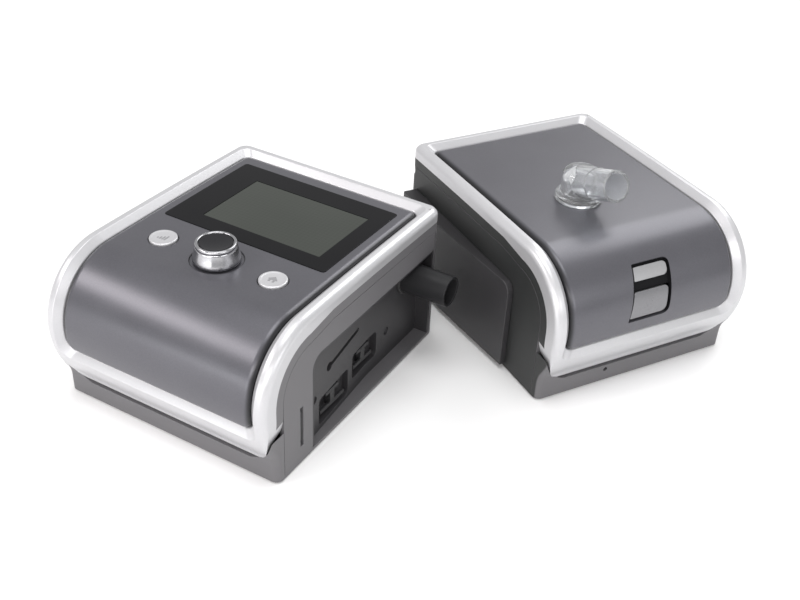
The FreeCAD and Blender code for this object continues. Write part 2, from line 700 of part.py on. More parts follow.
def dock_recess():
    """Space of the recess: slanted in plan from its front end to the bend."""
    front = DOCK_FRONT + FIT + DOCK_SKIN
    rear = COVER_END - FIT - DOCK_SKIN
    bend = DOCK_FRONT + DOCK_BEND
    out = DEVICE_HALF + 10.0
    corners = [V(DEVICE_HALF - recess_depth(front), front, 0), V(DEVICE_HALF - DOCK_FAR_DEPTH, bend, 0)]
    corners += [V(DEVICE_HALF - DOCK_FAR_DEPTH, rear, 0), V(out, rear, 0), V(out, front, 0)]
    face = Part.Face(Part.makePolygon(corners + corners[:1]))
    solid = face.extrude(V(0, 0, DOCK_TOP - FIT - DOCK_SKIN))
    corner = edges_along(solid, V(1, 0, 0), lambda m: m.y < front + 1.0 and m.z > PORT_Z)
    return solid.makeFillet(DOCK_CORNER - FIT - DOCK_SKIN, corner)


def pockets():
    """Front, rear, foot and top of the two latching pockets."""
    low = DOCK_FRONT + LOW_POCKET
    high = DOCK_FRONT + HIGH_POCKET
    return (
        (low, low + LOW_POCKET_LENGTH, LOW_POCKET_FOOT, LOW_POCKET_FOOT + LOW_POCKET_HEIGHT),
        (high, high + HIGH_POCKET_LENGTH, HIGH_POCKET_FOOT, HIGH_POCKET_FOOT + HIGH_POCKET_HEIGHT),
    )


def dock_cutters():
    """Latching pockets, locating holes and the slanting guide slit with its round eye."""
    out = DEVICE_HALF + 5.0
    cutters = []
    for front, rear, foot, top in pockets():
        floor_x = DEVICE_HALF - recess_depth((front + rear) / 2.0) - POCKET_DEPTH
        cutters.append(rounded_block(floor_x, out, front, rear, foot, top, POCKET_ROUND, V(1, 0, 0)))
    for y, z in ((FRONT_HOLE_Y, FRONT_HOLE_Z), (REAR_HOLE_Y, REAR_HOLE_Z)):
        floor_x = DEVICE_HALF - recess_depth(y) - SOCKET_HOLE_DEPTH
        cutters.append(rod_x(SOCKET_HOLE_RADIUS, y, z, floor_x, out))
    start = DOCK_FRONT + SLIT_FRONT
    length = math.hypot(SLIT_RUN, SLIT_RISE)
    floor_x = DEVICE_HALF - recess_depth(start + SLIT_RUN) - SLIT_DEPTH
    half = SLIT_WIDTH / 2.0
    bar = block(floor_x, out, start, start + length, SLIT_Z - half, SLIT_Z + half)
    bar.rotate(V(0, start, SLIT_Z), V(1, 0, 0), math.degrees(math.atan2(SLIT_RISE, SLIT_RUN)))
    eye = rod_x(SLIT_EYE, start, SLIT_Z, floor_x, out)
    end = rod_x(half, start + SLIT_RUN, SLIT_Z + SLIT_RISE, floor_x, out)
    return cutters + [join([bar, eye, end])]


def dock_panel():
    """Recessed wall on the right side that takes the humidifier's docking block."""
    back = DEVICE_HALF - DOCK_FAR_DEPTH - DOCK_SKIN
    shell = dock_window(FIT, back, DEVICE_HALF - DOCK_LIP)
    rear_edge = COVER_END - FIT - DOCK_LIP
    shell = shell.cut(block(SIDE_INNER, DEVICE_HALF, rear_edge, COVER_END, 0.0, CASE_HEIGHT))
    low, high = pockets()
    deep = back - POCKET_DEPTH + 0.5
    margin = DOCK_SKIN
    box = block(deep, back + 1.0, low[0] - margin, high[1] + margin, low[2] - margin, high[3] + margin)
    solid = shell.fuse(box).cut(dock_recess())
    for cutter in dock_cutters():
        solid = solid.cut(cutter)
    return solid.cut(rod_x(PORT_NECK + FIT, PORT_Y, PORT_Z, back - 5.0, DEVICE_HALF))


def dock_catches():
    """Tongues in the pockets, each with a long bar low down and a short one on top."""
    hooks = []
    half = CATCH_WIDTH / 2.0
    for front, rear, foot, top in pockets():
        middle = (front + rear) / 2.0
        root = DEVICE_HALF - recess_depth(middle) - POCKET_DEPTH
        face = root + POCKET_DEPTH - 1.0
        low = foot + POCKET_ROUND + 1.0
        high = top - POCKET_ROUND
        tongue = block(root, face, middle - half, middle + half, low, high)
        reach = CATCH_WIDTH + half
        lip = block(face - 2.0, face, middle - reach, middle + reach, high - 3.0, high)
        bar = block(face - 2.0, face, front + CATCH_WIDTH, rear - CATCH_WIDTH, low, low + 3.0)
        hooks.append(join([tongue, lip, bar]))
    return Part.makeCompound(hooks)


# ---------------------------------------------------------------- flow generator: air path
PANEL_BACK = DEVICE_HALF - DOCK_FAR_DEPTH - DOCK_SKIN
SEAL_END = DEVICE_HALF - DOCK_FAR_DEPTH + 2.0
SEAL_RADIUS = PORT_RADIUS + 1.6
STUB_RADIUS = PORT_BORE + 0.6
STUB_REACH = 9.0
HOSE_WALL = 2.2
BLOWER_Y = PORT_Y - (BLOWER_RADIUS - STUB_RADIUS - SHELL)
BLOWER_FOOT = PORT_Z - BLOWER_HEIGHT / 2.0
BLOWER_TOP = PORT_Z + BLOWER_HEIGHT / 2.0
SPOUT_END = BLOWER_X + BLOWER_RADIUS + 6.0
INTAKE_RADIUS = 14.0
HOSE_LAP = 5.0
IMPELLER_FOOT = BLOWER_FOOT + SHELL + 2.0
MOTOR_FOOT = BLOWER_TOP - SHELL - MOTOR_HEIGHT


def air_outlet():
    """Tapered-hose outlet: tube, flange behind the dock panel and inner stub."""
    stub_end = PANEL_BACK - PORT_FLANGE - STUB_REACH
    neck = rod_x(PORT_NECK, PORT_Y, PORT_Z, PANEL_BACK - PORT_FLANGE, SEAL_END)
    tube = rod_x(PORT_RADIUS, PORT_Y, PORT_Z, SEAL_END, DEVICE_HALF + PORT_REACH)
    flange = rod_x(PORT_RADIUS + 4.0, PORT_Y, PORT_Z, PANEL_BACK - PORT_FLANGE, PANEL_BACK)
    stub = rod_x(STUB_RADIUS, PORT_Y, PORT_Z, stub_end, PANEL_BACK)
    solid = join([neck, tube, flange, stub])
    return solid.cut(rod_x(PORT_BORE, PORT_Y, PORT_Z, stub_end - 1.0, DEVICE_HALF + PORT_REACH + 1.0))


def outlet_seal():
    """Rubber ring on the tube, seated against the floor of the recess."""
    return tube_x(SEAL_RADIUS, PORT_NECK, PORT_Y, PORT_Z, DEVICE_HALF - DOCK_FAR_DEPTH, SEAL_END)


def outlet_hose():
    """Short rubber hose from the blower's spout to the outlet's stub."""
    start = SPOUT_END - HOSE_LAP
    end = PANEL_BACK - PORT_FLANGE - STUB_REACH + HOSE_LAP
    return tube_x(STUB_RADIUS + HOSE_WALL, STUB_RADIUS, PORT_Y, PORT_Z, start, end)


def blower_housing():
    """Volute with a tangential spout and an intake in its floor."""
    drum = rod_z(BLOWER_RADIUS, BLOWER_X, BLOWER_Y, BLOWER_FOOT, BLOWER_TOP)
    spout = rod_x(STUB_RADIUS, PORT_Y, PORT_Z, BLOWER_X, SPOUT_END)
    solid = drum.fuse(spout)
    cavity = rod_z(BLOWER_RADIUS - SHELL, BLOWER_X, BLOWER_Y, BLOWER_FOOT + SHELL, BLOWER_TOP - SHELL)
    bore = rod_x(STUB_RADIUS - SHELL, PORT_Y, PORT_Z, BLOWER_X, SPOUT_END + 1.0)
    intake = rod_z(INTAKE_RADIUS, BLOWER_X, BLOWER_Y, BLOWER_FOOT - 1.0, BLOWER_FOOT + SHELL + 1.0)
    return solid.cut(cavity.multiFuse([bore, intake]))


def blower_mount():
    return tube_z(BLOWER_RADIUS - 4.0, BLOWER_RADIUS - 9.0, BLOWER_X, BLOWER_Y, SILENCER_TOP, BLOWER_FOOT)


def blower_motor():
    solid = rod_z(MOTOR_RADIUS, BLOWER_X, BLOWER_Y, MOTOR_FOOT, BLOWER_TOP - SHELL)
    rim = [edge for edge in solid.Edges if edge.BoundBox.ZMax < MOTOR_FOOT + 0.01]
    solid = solid.makeFillet(1.0, rim)
    bore_end = BLOWER_TOP - SHELL - 2.0
    return solid.cut(rod_z(SPINDLE_RADIUS + RUNNING, BLOWER_X, BLOWER_Y, MOTOR_FOOT - 1.0, bore_end))


def impeller_spindle():
    return rod_z(SPINDLE_RADIUS, BLOWER_X, BLOWER_Y, IMPELLER_FOOT, BLOWER_TOP - SHELL - 3.0)


def impeller():
    """Backward-curved radial wheel: hub, disc and blades."""
    top = IMPELLER_FOOT + IMPELLER_HEIGHT
    hub = rod_z(5.0, BLOWER_X, BLOWER_Y, IMPELLER_FOOT, top)
    disc = rod_z(IMPELLER_RADIUS, BLOWER_X, BLOWER_Y, top - 1.2, top)
    parts = [hub, disc]
    reach = IMPELLER_RADIUS * 0.62
    ring = tube_z(reach + 0.6, reach - 0.6, 0.0, 0.0, IMPELLER_FOOT, top)
    wedge = ring.common(block(0.0, 2.0 * reach, 0.0, 2.0 * reach, IMPELLER_FOOT, top))
    wedge.translate(V(BLOWER_X, BLOWER_Y - reach + 4.0, 0))
    limit = rod_z(IMPELLER_RADIUS, BLOWER_X, BLOWER_Y, IMPELLER_FOOT, top)
    blade = wedge.common(limit)
    for index in range(IMPELLER_BLADES):
        copy = blade.copy()
        copy.rotate(V(BLOWER_X, BLOWER_Y, 0), V(0, 0, 1), index * 360.0 / IMPELLER_BLADES)
        parts.append(copy)
    wheel = parts[0].multiFuse(parts[1:])
    return wheel.cut(rod_z(SPINDLE_RADIUS, BLOWER_X, BLOWER_Y, IMPELLER_FOOT - 1.0, top + 1.0))


def silencer_box():
    """Intake chamber under the blower, open towards the filter and the blower's intake."""
    solid = rounded_block(SILENCER_LEFT, SILENCER_RIGHT, SILENCER_FRONT, SILENCER_REAR,
                          FLOOR_TOP, SILENCER_TOP, 5.0, V(0, 0, 1))
    inner = block(SILENCER_LEFT + SHELL, SILENCER_RIGHT - SHELL, SILENCER_FRONT + SHELL,
                  SILENCER_REAR - SHELL, FLOOR_TOP - 1.0, SILENCER_TOP - SHELL)
    window = block(SILENCER_LEFT - 1.0, SILENCER_LEFT + SHELL + 1.0, FILTER_FRONT + 6.0,
                   FILTER_FRONT + FILTER_LENGTH - 6.0, FILTER_FOOT + 4.0, SILENCER_TOP - SHELL - 1.0)
    throat = rod_z(INTAKE_RADIUS, BLOWER_X, BLOWER_Y, SILENCER_TOP - SHELL - 1.0, SILENCER_TOP + 1.0)
    solid = solid.cut(inner.multiFuse([window, throat]))
    for x, y in screw_places(DEVICE_WIDTH):
        solid = solid.cut(rod_z(SCREW_RADIUS + 2.7, x, y, 0.0, FLOOR_TOP + SCREW_LENGTH + 0.3))
    return solid


def silencer_foam():
    inset = SHELL + MOTION_ROOM
    right = SILENCER_RIGHT - inset
    return rounded_block(right - FOAM_WIDTH, right, SILENCER_FRONT + inset, SILENCER_REAR - inset,
                         FLOOR_TOP, SILENCER_TOP - inset, 3.0, V(0, 0, 1))


def filter_frame():
    """Pocket behind the filter door with a grid at its inner end."""
    grow = 3.0
    inner_x = SILENCER_LEFT
    solid = block(-SIDE_INNER, inner_x, FILTER_FRONT - grow, FILTER_FRONT + FILTER_LENGTH + grow,
                  FILTER_FOOT - grow, FILTER_FOOT + FILTER_HEIGHT + grow)
    solid = solid.cut(filter_window(0.0, -SIDE_INNER - 1.0, inner_x - 1.6))
    pitch = (FILTER_LENGTH - 8.0) / 4.0
    for index in range(4):
        front = FILTER_FRONT + 4.0 + index * pitch
        hole = block(inner_x - 3.0, inner_x + 1.0, front + 1.0, front + pitch - 1.0,
                     FILTER_FOOT + 5.0, SILENCER_TOP - SHELL - 2.0)
        solid = solid.cut(hole)
    return solid


def filter_pad():
    inner_x = SILENCER_LEFT - 1.6
    return filter_window(0.5, inner_x - 5.0, inner_x)


def filter_door():
    """Louvred door flush with the left side cover."""
    solid = filter_window(MOTION_ROOM, -DEVICE_HALF, -SIDE_INNER)
    pitch = (FILTER_HEIGHT - 10.0) / LOUVRES
    for index in range(LOUVRES):
        foot = FILTER_FOOT + 5.0 + index * pitch + (pitch - LOUVRE_GAP) / 2.0
        solid = solid.cut(rounded_block(-DEVICE_HALF - 1.0, -SIDE_INNER + 1.0, FILTER_FRONT + 7.0,
                                        FILTER_FRONT + FILTER_LENGTH - 7.0, foot, foot + LOUVRE_GAP,
                                        LOUVRE_GAP / 2.0 - 0.05, V(1, 0, 0)))
    return solid


# ---------------------------------------------------------------- flow generator: electronics
CARD_FOOT = SLOT_FOOT + (SLOT_LENGTH - CARD_WIDTH) / 2.0
CARD_END = DEVICE_HALF - CARD_RECESS
BOARD_TOP = MAIN_BOARD_Z + BOARD


def main_board():
    solid = rounded_block(-BOARD_HALF, BOARD_HALF, BOARD_FRONT, MAIN_BOARD_REAR, MAIN_BOARD_Z, BOARD_TOP,
                          3.0, V(0, 0, 1))
    for x, y in screw_places(DEVICE_WIDTH):
        solid = solid.cut(rod_z(SCREW_RADIUS + 3.0, x, y, 0.0, CASE_HEIGHT))
    return solid


def board_parts():
    """Capacitors, coil, processor and connectors on the main board."""
    parts = []
    row = MAIN_BOARD_REAR - 3.5 * CAPACITOR_RADIUS
    pitch = 2.0 * CAPACITOR_RADIUS + PART_GAP
    coil = 2.0 * CAPACITOR_RADIUS
    for index in range(3):
        x = -coil - CAPACITOR_RADIUS - PART_GAP - index * pitch
        parts.append(rod_z(CAPACITOR_RADIUS, x, row, BOARD_TOP, BOARD_TOP + 3.0 * CAPACITOR_RADIUS))
    parts.append(tube_z(coil, 0.5 * coil, 0.0, row, BOARD_TOP, BOARD_TOP + coil))
    chip_y = row - coil - 2.0 * PART_GAP - CHIP_HALF
    parts.append(block(-CHIP_HALF, CHIP_HALF, chip_y - CHIP_HALF, chip_y + CHIP_HALF,
                       BOARD_TOP, BOARD_TOP + BOARD))
    for index in range(3):
        x = coil + PART_GAP + index * (CONNECTOR_LENGTH + PART_GAP)
        parts.append(block(x, x + CONNECTOR_LENGTH, row, row + CONNECTOR_WIDTH,
                           BOARD_TOP, BOARD_TOP + CONNECTOR_WIDTH))
    return Part.makeCompound(parts)


def card_socket():
    room = MOTION_ROOM
    inner = CARD_END - CARD_LENGTH - room
    half = CARD_THICKNESS / 2.0
    shell = block(inner - 3.0, SIDE_INNER - 0.2, SLOT_Y - half - 2.0, SLOT_Y + half + 2.0,
                  BOARD_TOP, CARD_FOOT + CARD_WIDTH + 2.5)
    return shell.cut(block(inner, DEVICE_HALF, SLOT_Y - half - room, SLOT_Y + half + room,
                           CARD_FOOT - room, CARD_FOOT + CARD_WIDTH + room))


def memory_card():
    half = CARD_THICKNESS / 2.0
    return rounded_block(CARD_END - CARD_LENGTH, CARD_END, SLOT_Y - half, SLOT_Y + half,
                         CARD_FOOT, CARD_FOOT + CARD_WIDTH, 1.0, V(0, 1, 0))


def power_inlet():
    """Round low-voltage inlet with its centre pin, fixed in the rear wall."""
    outer = INLET_RADIUS + INLET_SLEEVE
    back = CASE_DEPTH - INLET_LENGTH
    sleeve = rod_y(outer, INLET_X, INLET_Z, back, CASE_DEPTH)
    collar = rod_y(outer + 1.6, INLET_X, INLET_Z, back - 2.0, REAR_INNER)
    bore = rod_y(INLET_RADIUS, INLET_X, INLET_Z, back + 1.5, CASE_DEPTH + 1.0)
    pin = rod_y(1.0, INLET_X, INLET_Z, back, CASE_DEPTH - 2.0)
    return join([sleeve, collar]).cut(bore).fuse(pin)


# ---------------------------------------------------------------- flow generator: controls
SWITCH_TOP = UI_BOARD_TOP + SWITCH_HEIGHT
CUP_FOOT = FASCIA_Z - FASCIA_SKIN - 1.4
SLEEVE_RADIUS = 4.5
SLEEVE_TOP = FASCIA_Z - 0.5
SHAFT_FOOT = UI_BOARD_TOP + 3.6
PLUNGER_HEIGHT = 1.4
KNOB_FOOT = FASCIA_Z - MOAT_DEPTH + KNOB_TRAVEL + MOTION_ROOM
KNOB_TOP = FASCIA_Z + KNOB_HEIGHT
KNOB_SHAFT_TOP = FASCIA_Z + 0.7 * KNOB_HEIGHT
KNOB_RECESS = 2.0


def button_places():
    return ((-BUTTON_PITCH, "ramp_button"), (BUTTON_PITCH, "home_button"))


def lens_block(margin):
    half = LENS_WIDTH / 2.0 + margin
    return rounded_block(-half, half, LENS_FRONT - margin, LENS_FRONT + LENS_LENGTH + margin,
                         NOSE_Z, CASE_HEIGHT + 5.0, LENS_CORNER + margin, V(0, 0, 1))


def display_block(margin):
    return block(DISPLAY_LEFT - margin, DISPLAY_LEFT + DISPLAY_WIDTH + margin, DISPLAY_FRONT - margin,
                 DISPLAY_FRONT + DISPLAY_LENGTH + margin, UI_BOARD_TOP, CASE_HEIGHT + 5.0)


def control_board_posts():
    side = UI_BOARD_HALF - 5.0
    return [(x, y) for x in (-side, side) for y in (DISPLAY_FRONT - 20.0, LENS_FRONT + LENS_LENGTH + 3.0)]


def device_fascia():
    """Curved cover with the screen's seat, the knob's moat and the cups of the two buttons."""
    solid = fascia_skin(DEVICE_WIDTH)
    under = case_prism(FASCIA_SINK + 1.0, DEVICE_HALF)
    additions = []
    for x, name in button_places():
        additions.append(rod_z(BUTTON_RADIUS + 2.0, x, CONTROL_ROW, CUP_FOOT, FASCIA_Z - FASCIA_SKIN + 0.5))
    for x, y in control_board_posts():
        additions.append(rod_z(2.5, x, y, UI_BOARD_TOP, CASE_HEIGHT).common(under))
    solid = join([solid] + additions)
    seat = skin_band(-5.0, FASCIA_SINK - LENS_PROUD + LENS_THICKNESS, lens_block(0.1))
    solid = solid.cut(seat).cut(display_block(0.3))
    for x, name in button_places():
        well = BUTTON_RADIUS + MOTION_ROOM
        guide = BUTTON_STEM_RADIUS + MOTION_ROOM
        solid = solid.cut(rod_z(well, x, CONTROL_ROW, CUP_FOOT + 1.2, CASE_HEIGHT))
        solid = solid.cut(rod_z(guide, x, CONTROL_ROW, CUP_FOOT - 1.0, CASE_HEIGHT))
    moat = rod_z(KNOB_BASE_RADIUS + MOAT_MARGIN, 0.0, CONTROL_ROW, FASCIA_Z - MOAT_DEPTH, CASE_HEIGHT)
    hole = rod_z(SLEEVE_RADIUS + 0.1, 0.0, CONTROL_ROW, CUP_FOOT - 1.0, CASE_HEIGHT)
    return solid.cut(moat).cut(hole)


def screen_lens():
    """Glossy black surround of the display."""
    top = FASCIA_SINK - LENS_PROUD
    return skin_band(top, top + LENS_THICKNESS, lens_block(0.0)).cut(display_block(0.1))


def display_panel():
    """Display module: fills the lens's window and stands on the control board."""
    top = FASCIA_SINK - LENS_PROUD + DISPLAY_SINK
    return display_block(0.0).common(case_prism(top, DEVICE_HALF, CASE_DEPTH, -5.0))


def control_board():
    rear = LENS_FRONT + LENS_LENGTH + 8.0
    front = CONTROL_ROW - 14.0
    return rounded_block(-UI_BOARD_HALF, UI_BOARD_HALF, front, rear, UI_BOARD_TOP - BOARD, UI_BOARD_TOP,
                         3.0, V(0, 0, 1))


def encoder():
    """Rotary encoder: square body with a threaded sleeve."""
    body = block(-6.0, 6.0, CONTROL_ROW - 6.0, CONTROL_ROW + 6.0, UI_BOARD_TOP, SHAFT_FOOT + 0.4)
    sleeve = rod_z(SLEEVE_RADIUS, 0.0, CONTROL_ROW, UI_BOARD_TOP, SLEEVE_TOP)
    bore_foot = SHAFT_FOOT - PLUNGER_HEIGHT - KNOB_TRAVEL - 0.2
    bore = rod_z(KNOB_SHAFT_RADIUS + RUNNING, 0.0, CONTROL_ROW, bore_foot, CASE_HEIGHT)
    return join([body, sleeve]).cut(bore)


def encoder_plunger():
    return rod_z(KNOB_SHAFT_RADIUS, 0.0, CONTROL_ROW, SHAFT_FOOT - PLUNGER_HEIGHT, SHAFT_FOOT)


def knob_shaft():
    return rod_z(KNOB_SHAFT_RADIUS, 0.0, CONTROL_ROW, SHAFT_FOOT, KNOB_SHAFT_TOP)


def knob():
    """Flared knob: wide foot, waist and a rim round the sunk cap."""
    base = KNOB_BASE_RADIUS
    top = KNOB_TOP_RADIUS
    outline = [
        (0.0, KNOB_FOOT), (base - 1.0, KNOB_FOOT), (base, KNOB_FOOT + 1.5), (base, FASCIA_Z + 3.0),
        (base - 1.3, FASCIA_Z + 5.6), (top + 0.1, FASCIA_Z + 8.6), (top, FASCIA_Z + 10.0),
        (top, KNOB_TOP - 1.0), (top - 1.0, KNOB_TOP), (0.0, KNOB_TOP),
    ]
    solid = revolve_profile(outline, 0.0, CONTROL_ROW)
    recess = rod_z(KNOB_CAP_RADIUS + 0.1, 0.0, CONTROL_ROW, KNOB_TOP - KNOB_RECESS, KNOB_TOP + 1.0)
    bore = rod_z(KNOB_SHAFT_RADIUS, 0.0, CONTROL_ROW, KNOB_FOOT - 1.0, KNOB_SHAFT_TOP)
    hollow = tube_z(top - 2.5, SLEEVE_RADIUS + 2.0, 0.0, CONTROL_ROW, KNOB_FOOT - 1.0, KNOB_SHAFT_TOP - 1.0)
    sleeve_room = rod_z(SLEEVE_RADIUS + 0.5, 0.0, CONTROL_ROW, KNOB_FOOT - 1.0, KNOB_FOOT + 1.0)
    return solid.cut(recess.multiFuse([bore, hollow, sleeve_room]))


def knob_cap():
    """Dark dished cap in the knob's top."""
    foot = KNOB_TOP - KNOB_RECESS
    solid = rod_z(KNOB_CAP_RADIUS, 0.0, CONTROL_ROW, foot, foot + KNOB_CAP_THICKNESS)
    radius = (KNOB_CAP_RADIUS ** 2 + KNOB_CAP_DISH ** 2) / (2.0 * KNOB_CAP_DISH)
    centre = foot + KNOB_CAP_THICKNESS - KNOB_CAP_DISH + radius
    return solid.cut(Part.makeSphere(radius, V(0.0, CONTROL_ROW, centre)))


def push_button(x):
    """Round button with a softened rim and a stem that reaches its switch."""
    top = FASCIA_Z + BUTTON_PROUD
    disc = rod_z(BUTTON_RADIUS, x, CONTROL_ROW, top - BUTTON_THICKNESS, top)
    rim = [edge for edge in disc.Edges if edge.BoundBox.ZMin > top - 0.01]
    disc = disc.makeFillet(0.9, rim)
    stem_foot = SWITCH_TOP + BUTTON_TRAVEL + 0.1
    stem = rod_z(BUTTON_STEM_RADIUS, x, CONTROL_ROW, stem_foot, top - BUTTON_THICKNESS + 0.5)
    return join([disc, stem])


def tact_switches():
    places = button_places()
    return Part.makeCompound([rod_z(SWITCH_RADIUS, x, CONTROL_ROW, UI_BOARD_TOP, SWITCH_TOP)
                              for x, name in places])


# ---------------------------------------------------------------- humidifier: housing
HUMID_INNER = HUMID_HALF - WALL
HINGE_Z = top_height(CASE_DEPTH, FLANK_HEIGHT) - HINGE_RADIUS - 0.5
HINGE_RELIEF = 5.0
SOCKET_RADIUS = PORT_RADIUS + SOCKET_CLEARANCE
SOCKET_OUTER = SOCKET_RADIUS + SOCKET_WALL
SOCKET_MOUTH = -HUMID_HALF - BLOCK_FAR
SOCKET_END = SOCKET_MOUTH + SOCKET_LENGTH
HEATER_SEAT = 2.5
HEATER_FOOT = FLOOR_TOP + HEATER_SEAT
TUB_FOOT = HEATER_FOOT + HEATER_HEIGHT
TUB_REAR = CHAMBER_FRONT + CHAMBER_LENGTH
HEATER_Y = CHAMBER_FRONT + CHAMBER_LENGTH / 2.0
TUB_LID_FOOT = CHAMBER_TOP + GASKET
TUB_LID_TOP = TUB_LID_FOOT + CHAMBER_LID
LINER_FOOT = TUB_LID_TOP + 4.0
OUTLET_Z = top_height(OUTLET_Y, FASCIA_SINK)


def knuckle_spans(first):
    """Ends along X of every second hinge knuckle."""
    pitch = KNUCKLE_LENGTH + KNUCKLE_GAP
    start = -0.5 * (KNUCKLES * KNUCKLE_LENGTH + (KNUCKLES - 1) * KNUCKLE_GAP)
    return [(start + i * pitch, start + i * pitch + KNUCKLE_LENGTH) for i in range(first, KNUCKLES, 2)]


def humidifier_base():
    """Open housing: floor, skirt, low front wall, side and rear walls and the fixed knuckles."""
    walls = case_block(HUMID_WIDTH).common(seam_prism(SEAM, HUMID_WIDTH))
    chamber_front = COVER_FRONT + WALL
    walls = walls.cut(block(-HUMID_INNER, HUMID_INNER, chamber_front, REAR_INNER, FLOOR_TOP, CASE_HEIGHT))
    walls = walls.cut(block(-HUMID_INNER, HUMID_INNER, COVER_FRONT - 1.0, chamber_front + 1.0,
                            FRONT_WALL_TOP, CASE_HEIGHT))
    walls = walls.cut(rod_x(HINGE_RELIEF, HINGE_Y, HINGE_Z, -HUMID_HALF - 1.0, HUMID_HALF + 1.0))
    walls = walls.cut(block(-HUMID_WIDTH, HUMID_WIDTH, HINGE_Y - 3.0, CASE_DEPTH + 1.0, HINGE_Z, CASE_HEIGHT))
    knuckles = []
    for x0, x1 in knuckle_spans(0):
        knuckles.append(rod_x(HINGE_RADIUS, HINGE_Y, HINGE_Z, x0, x1))
        knuckles.append(block(x0, x1, HINGE_Y, CASE_DEPTH, HINGE_Z - HINGE_RELIEF - 1.0, HINGE_Z))
    bosses, holes = screw_bosses(HUMID_WIDTH)
    solid = join([bottom_plate(HUMID_WIDTH), skirt_front(HUMID_WIDTH), walls] + knuckles + bosses)
    solid = solid.cut(holes[0].multiFuse(holes[1:] + foot_seats(HUMID_WIDTH)))
    solid = solid.cut(rod_x(HINGE_PIN, HINGE_Y, HINGE_Z, -HUMID_HALF, HUMID_HALF))
    solid = solid.cut(rod_x(SOCKET_OUTER, PORT_Y, PORT_Z, -HUMID_HALF - 1.0, -HUMID_INNER + 1.0))
    hole_z = RIM_FOOT / 2.0 + FLOOR_TOP
    return solid.cut(rod_y(SKIRT_HOLE_RADIUS, SKIRT_HOLE_X, hole_z, 0.0, SKIRT_SETBACK + 4.0))


def dock_block():
    """Docking block on the left side, slanted in plan like the recess that takes it."""
    rear = COVER_END - FIT - DOCK_SKIN - BLOCK_ROOM
    bend = DOCK_FRONT + DOCK_BEND
    near = -HUMID_HALF - BLOCK_NEAR
    far = -HUMID_HALF - BLOCK_FAR
    corners = [V(-HUMID_HALF, BLOCK_FRONT, 0), V(near, BLOCK_FRONT, 0), V(far, bend, 0)]
    corners += [V(far, rear, 0), V(-HUMID_HALF, rear, 0)]
    face = Part.Face(Part.makePolygon(corners + corners[:1]))
    foot = FLOOR_TOP + BLOCK_ROOM
    top = DOCK_TOP - FIT - DOCK_SKIN - BLOCK_ROOM
    solid = face.extrude(V(0, 0, top - foot))
    solid.translate(V(0, 0, foot))
    corner = edges_along(solid, V(1, 0, 0), lambda m: m.y < BLOCK_FRONT + 1.0 and m.z > PORT_Z)
    solid = solid.makeFillet(DOCK_CORNER - FIT - DOCK_SKIN, corner)
    return solid.cut(rod_x(SOCKET_OUTER, PORT_Y, PORT_Z, SOCKET_MOUTH - 1.0, -HUMID_HALF + 1.0))


def inlet_socket():
    """Sleeve that takes the flow generator's outlet tube."""
    return tube_x(SOCKET_OUTER, SOCKET_RADIUS, PORT_Y, PORT_Z, SOCKET_MOUTH, SOCKET_END)


DUCT_WALL = 1.5
DUCT_BEND = 13.0
DUCT_X = SOCKET_END + 4.0 + DUCT_BEND


def bent_path(radius):
    """Tube path from the socket round a quarter bend to the tub's rear wall."""
    start = V(SOCKET_END, PORT_Y, PORT_Z)
    bend_in = V(DUCT_X - DUCT_BEND, PORT_Y, PORT_Z)
    centre = V(DUCT_X - DUCT_BEND, PORT_Y - DUCT_BEND, PORT_Z)
    turn = DUCT_BEND * math.sqrt(0.5)
    middle = centre.add(V(turn, turn, 0))
    bend_out = V(DUCT_X, PORT_Y - DUCT_BEND, PORT_Z)
    end = V(DUCT_X, TUB_REAR, PORT_Z)
    path = Part.Wire([Part.makeLine(start, bend_in), Part.Arc(bend_in, middle, bend_out).toShape(),
                      Part.makeLine(bend_out, end)])
    ring = Part.Wire(Part.makeCircle(radius, start, V(1, 0, 0)))
    return path.makePipeShell([ring], True, False)


def inlet_duct():
    return bent_path(SOCKET_RADIUS).cut(bent_path(SOCKET_RADIUS - DUCT_WALL))


# ---------------------------------------------------------------- humidifier: water chamber
def heater_seat():
    return tube_z(HEATER_RADIUS + 3.0, HEATER_RADIUS - 8.0, 0.0, HEATER_Y, FLOOR_TOP, HEATER_FOOT)


def heater_plate():
    return rod_z(HEATER_RADIUS, 0.0, HEATER_Y, HEATER_FOOT, TUB_FOOT)


def tub_block(margin, foot, top):
    half = CHAMBER_WIDTH / 2.0 - margin
    return rounded_block(-half, half, CHAMBER_FRONT + margin, TUB_REAR - margin, foot, top,
                         14.0 - margin, V(0, 0, 1))


def tub_plate():
    """Metal bottom that passes the heat into the water."""
    return tub_block(0.0, TUB_FOOT, TUB_FOOT + BASE_PLATE)


def water_tub():
    solid = tub_block(0.0, TUB_FOOT + BASE_PLATE, CHAMBER_TOP)
    solid = solid.cut(tub_block(CHAMBER_WALL, TUB_FOOT + BASE_PLATE - 1.0, CHAMBER_TOP + 1.0))
    bore = SOCKET_RADIUS - DUCT_WALL
    return solid.cut(rod_y(bore, DUCT_X, PORT_Z, TUB_REAR - 2.0 * CHAMBER_WALL, TUB_REAR + 1.0))


def tub_gasket():
    ring = tub_block(0.0, CHAMBER_TOP, TUB_LID_FOOT)
    return ring.cut(tub_block(CHAMBER_WALL, CHAMBER_TOP - 1.0, TUB_LID_FOOT + 1.0))


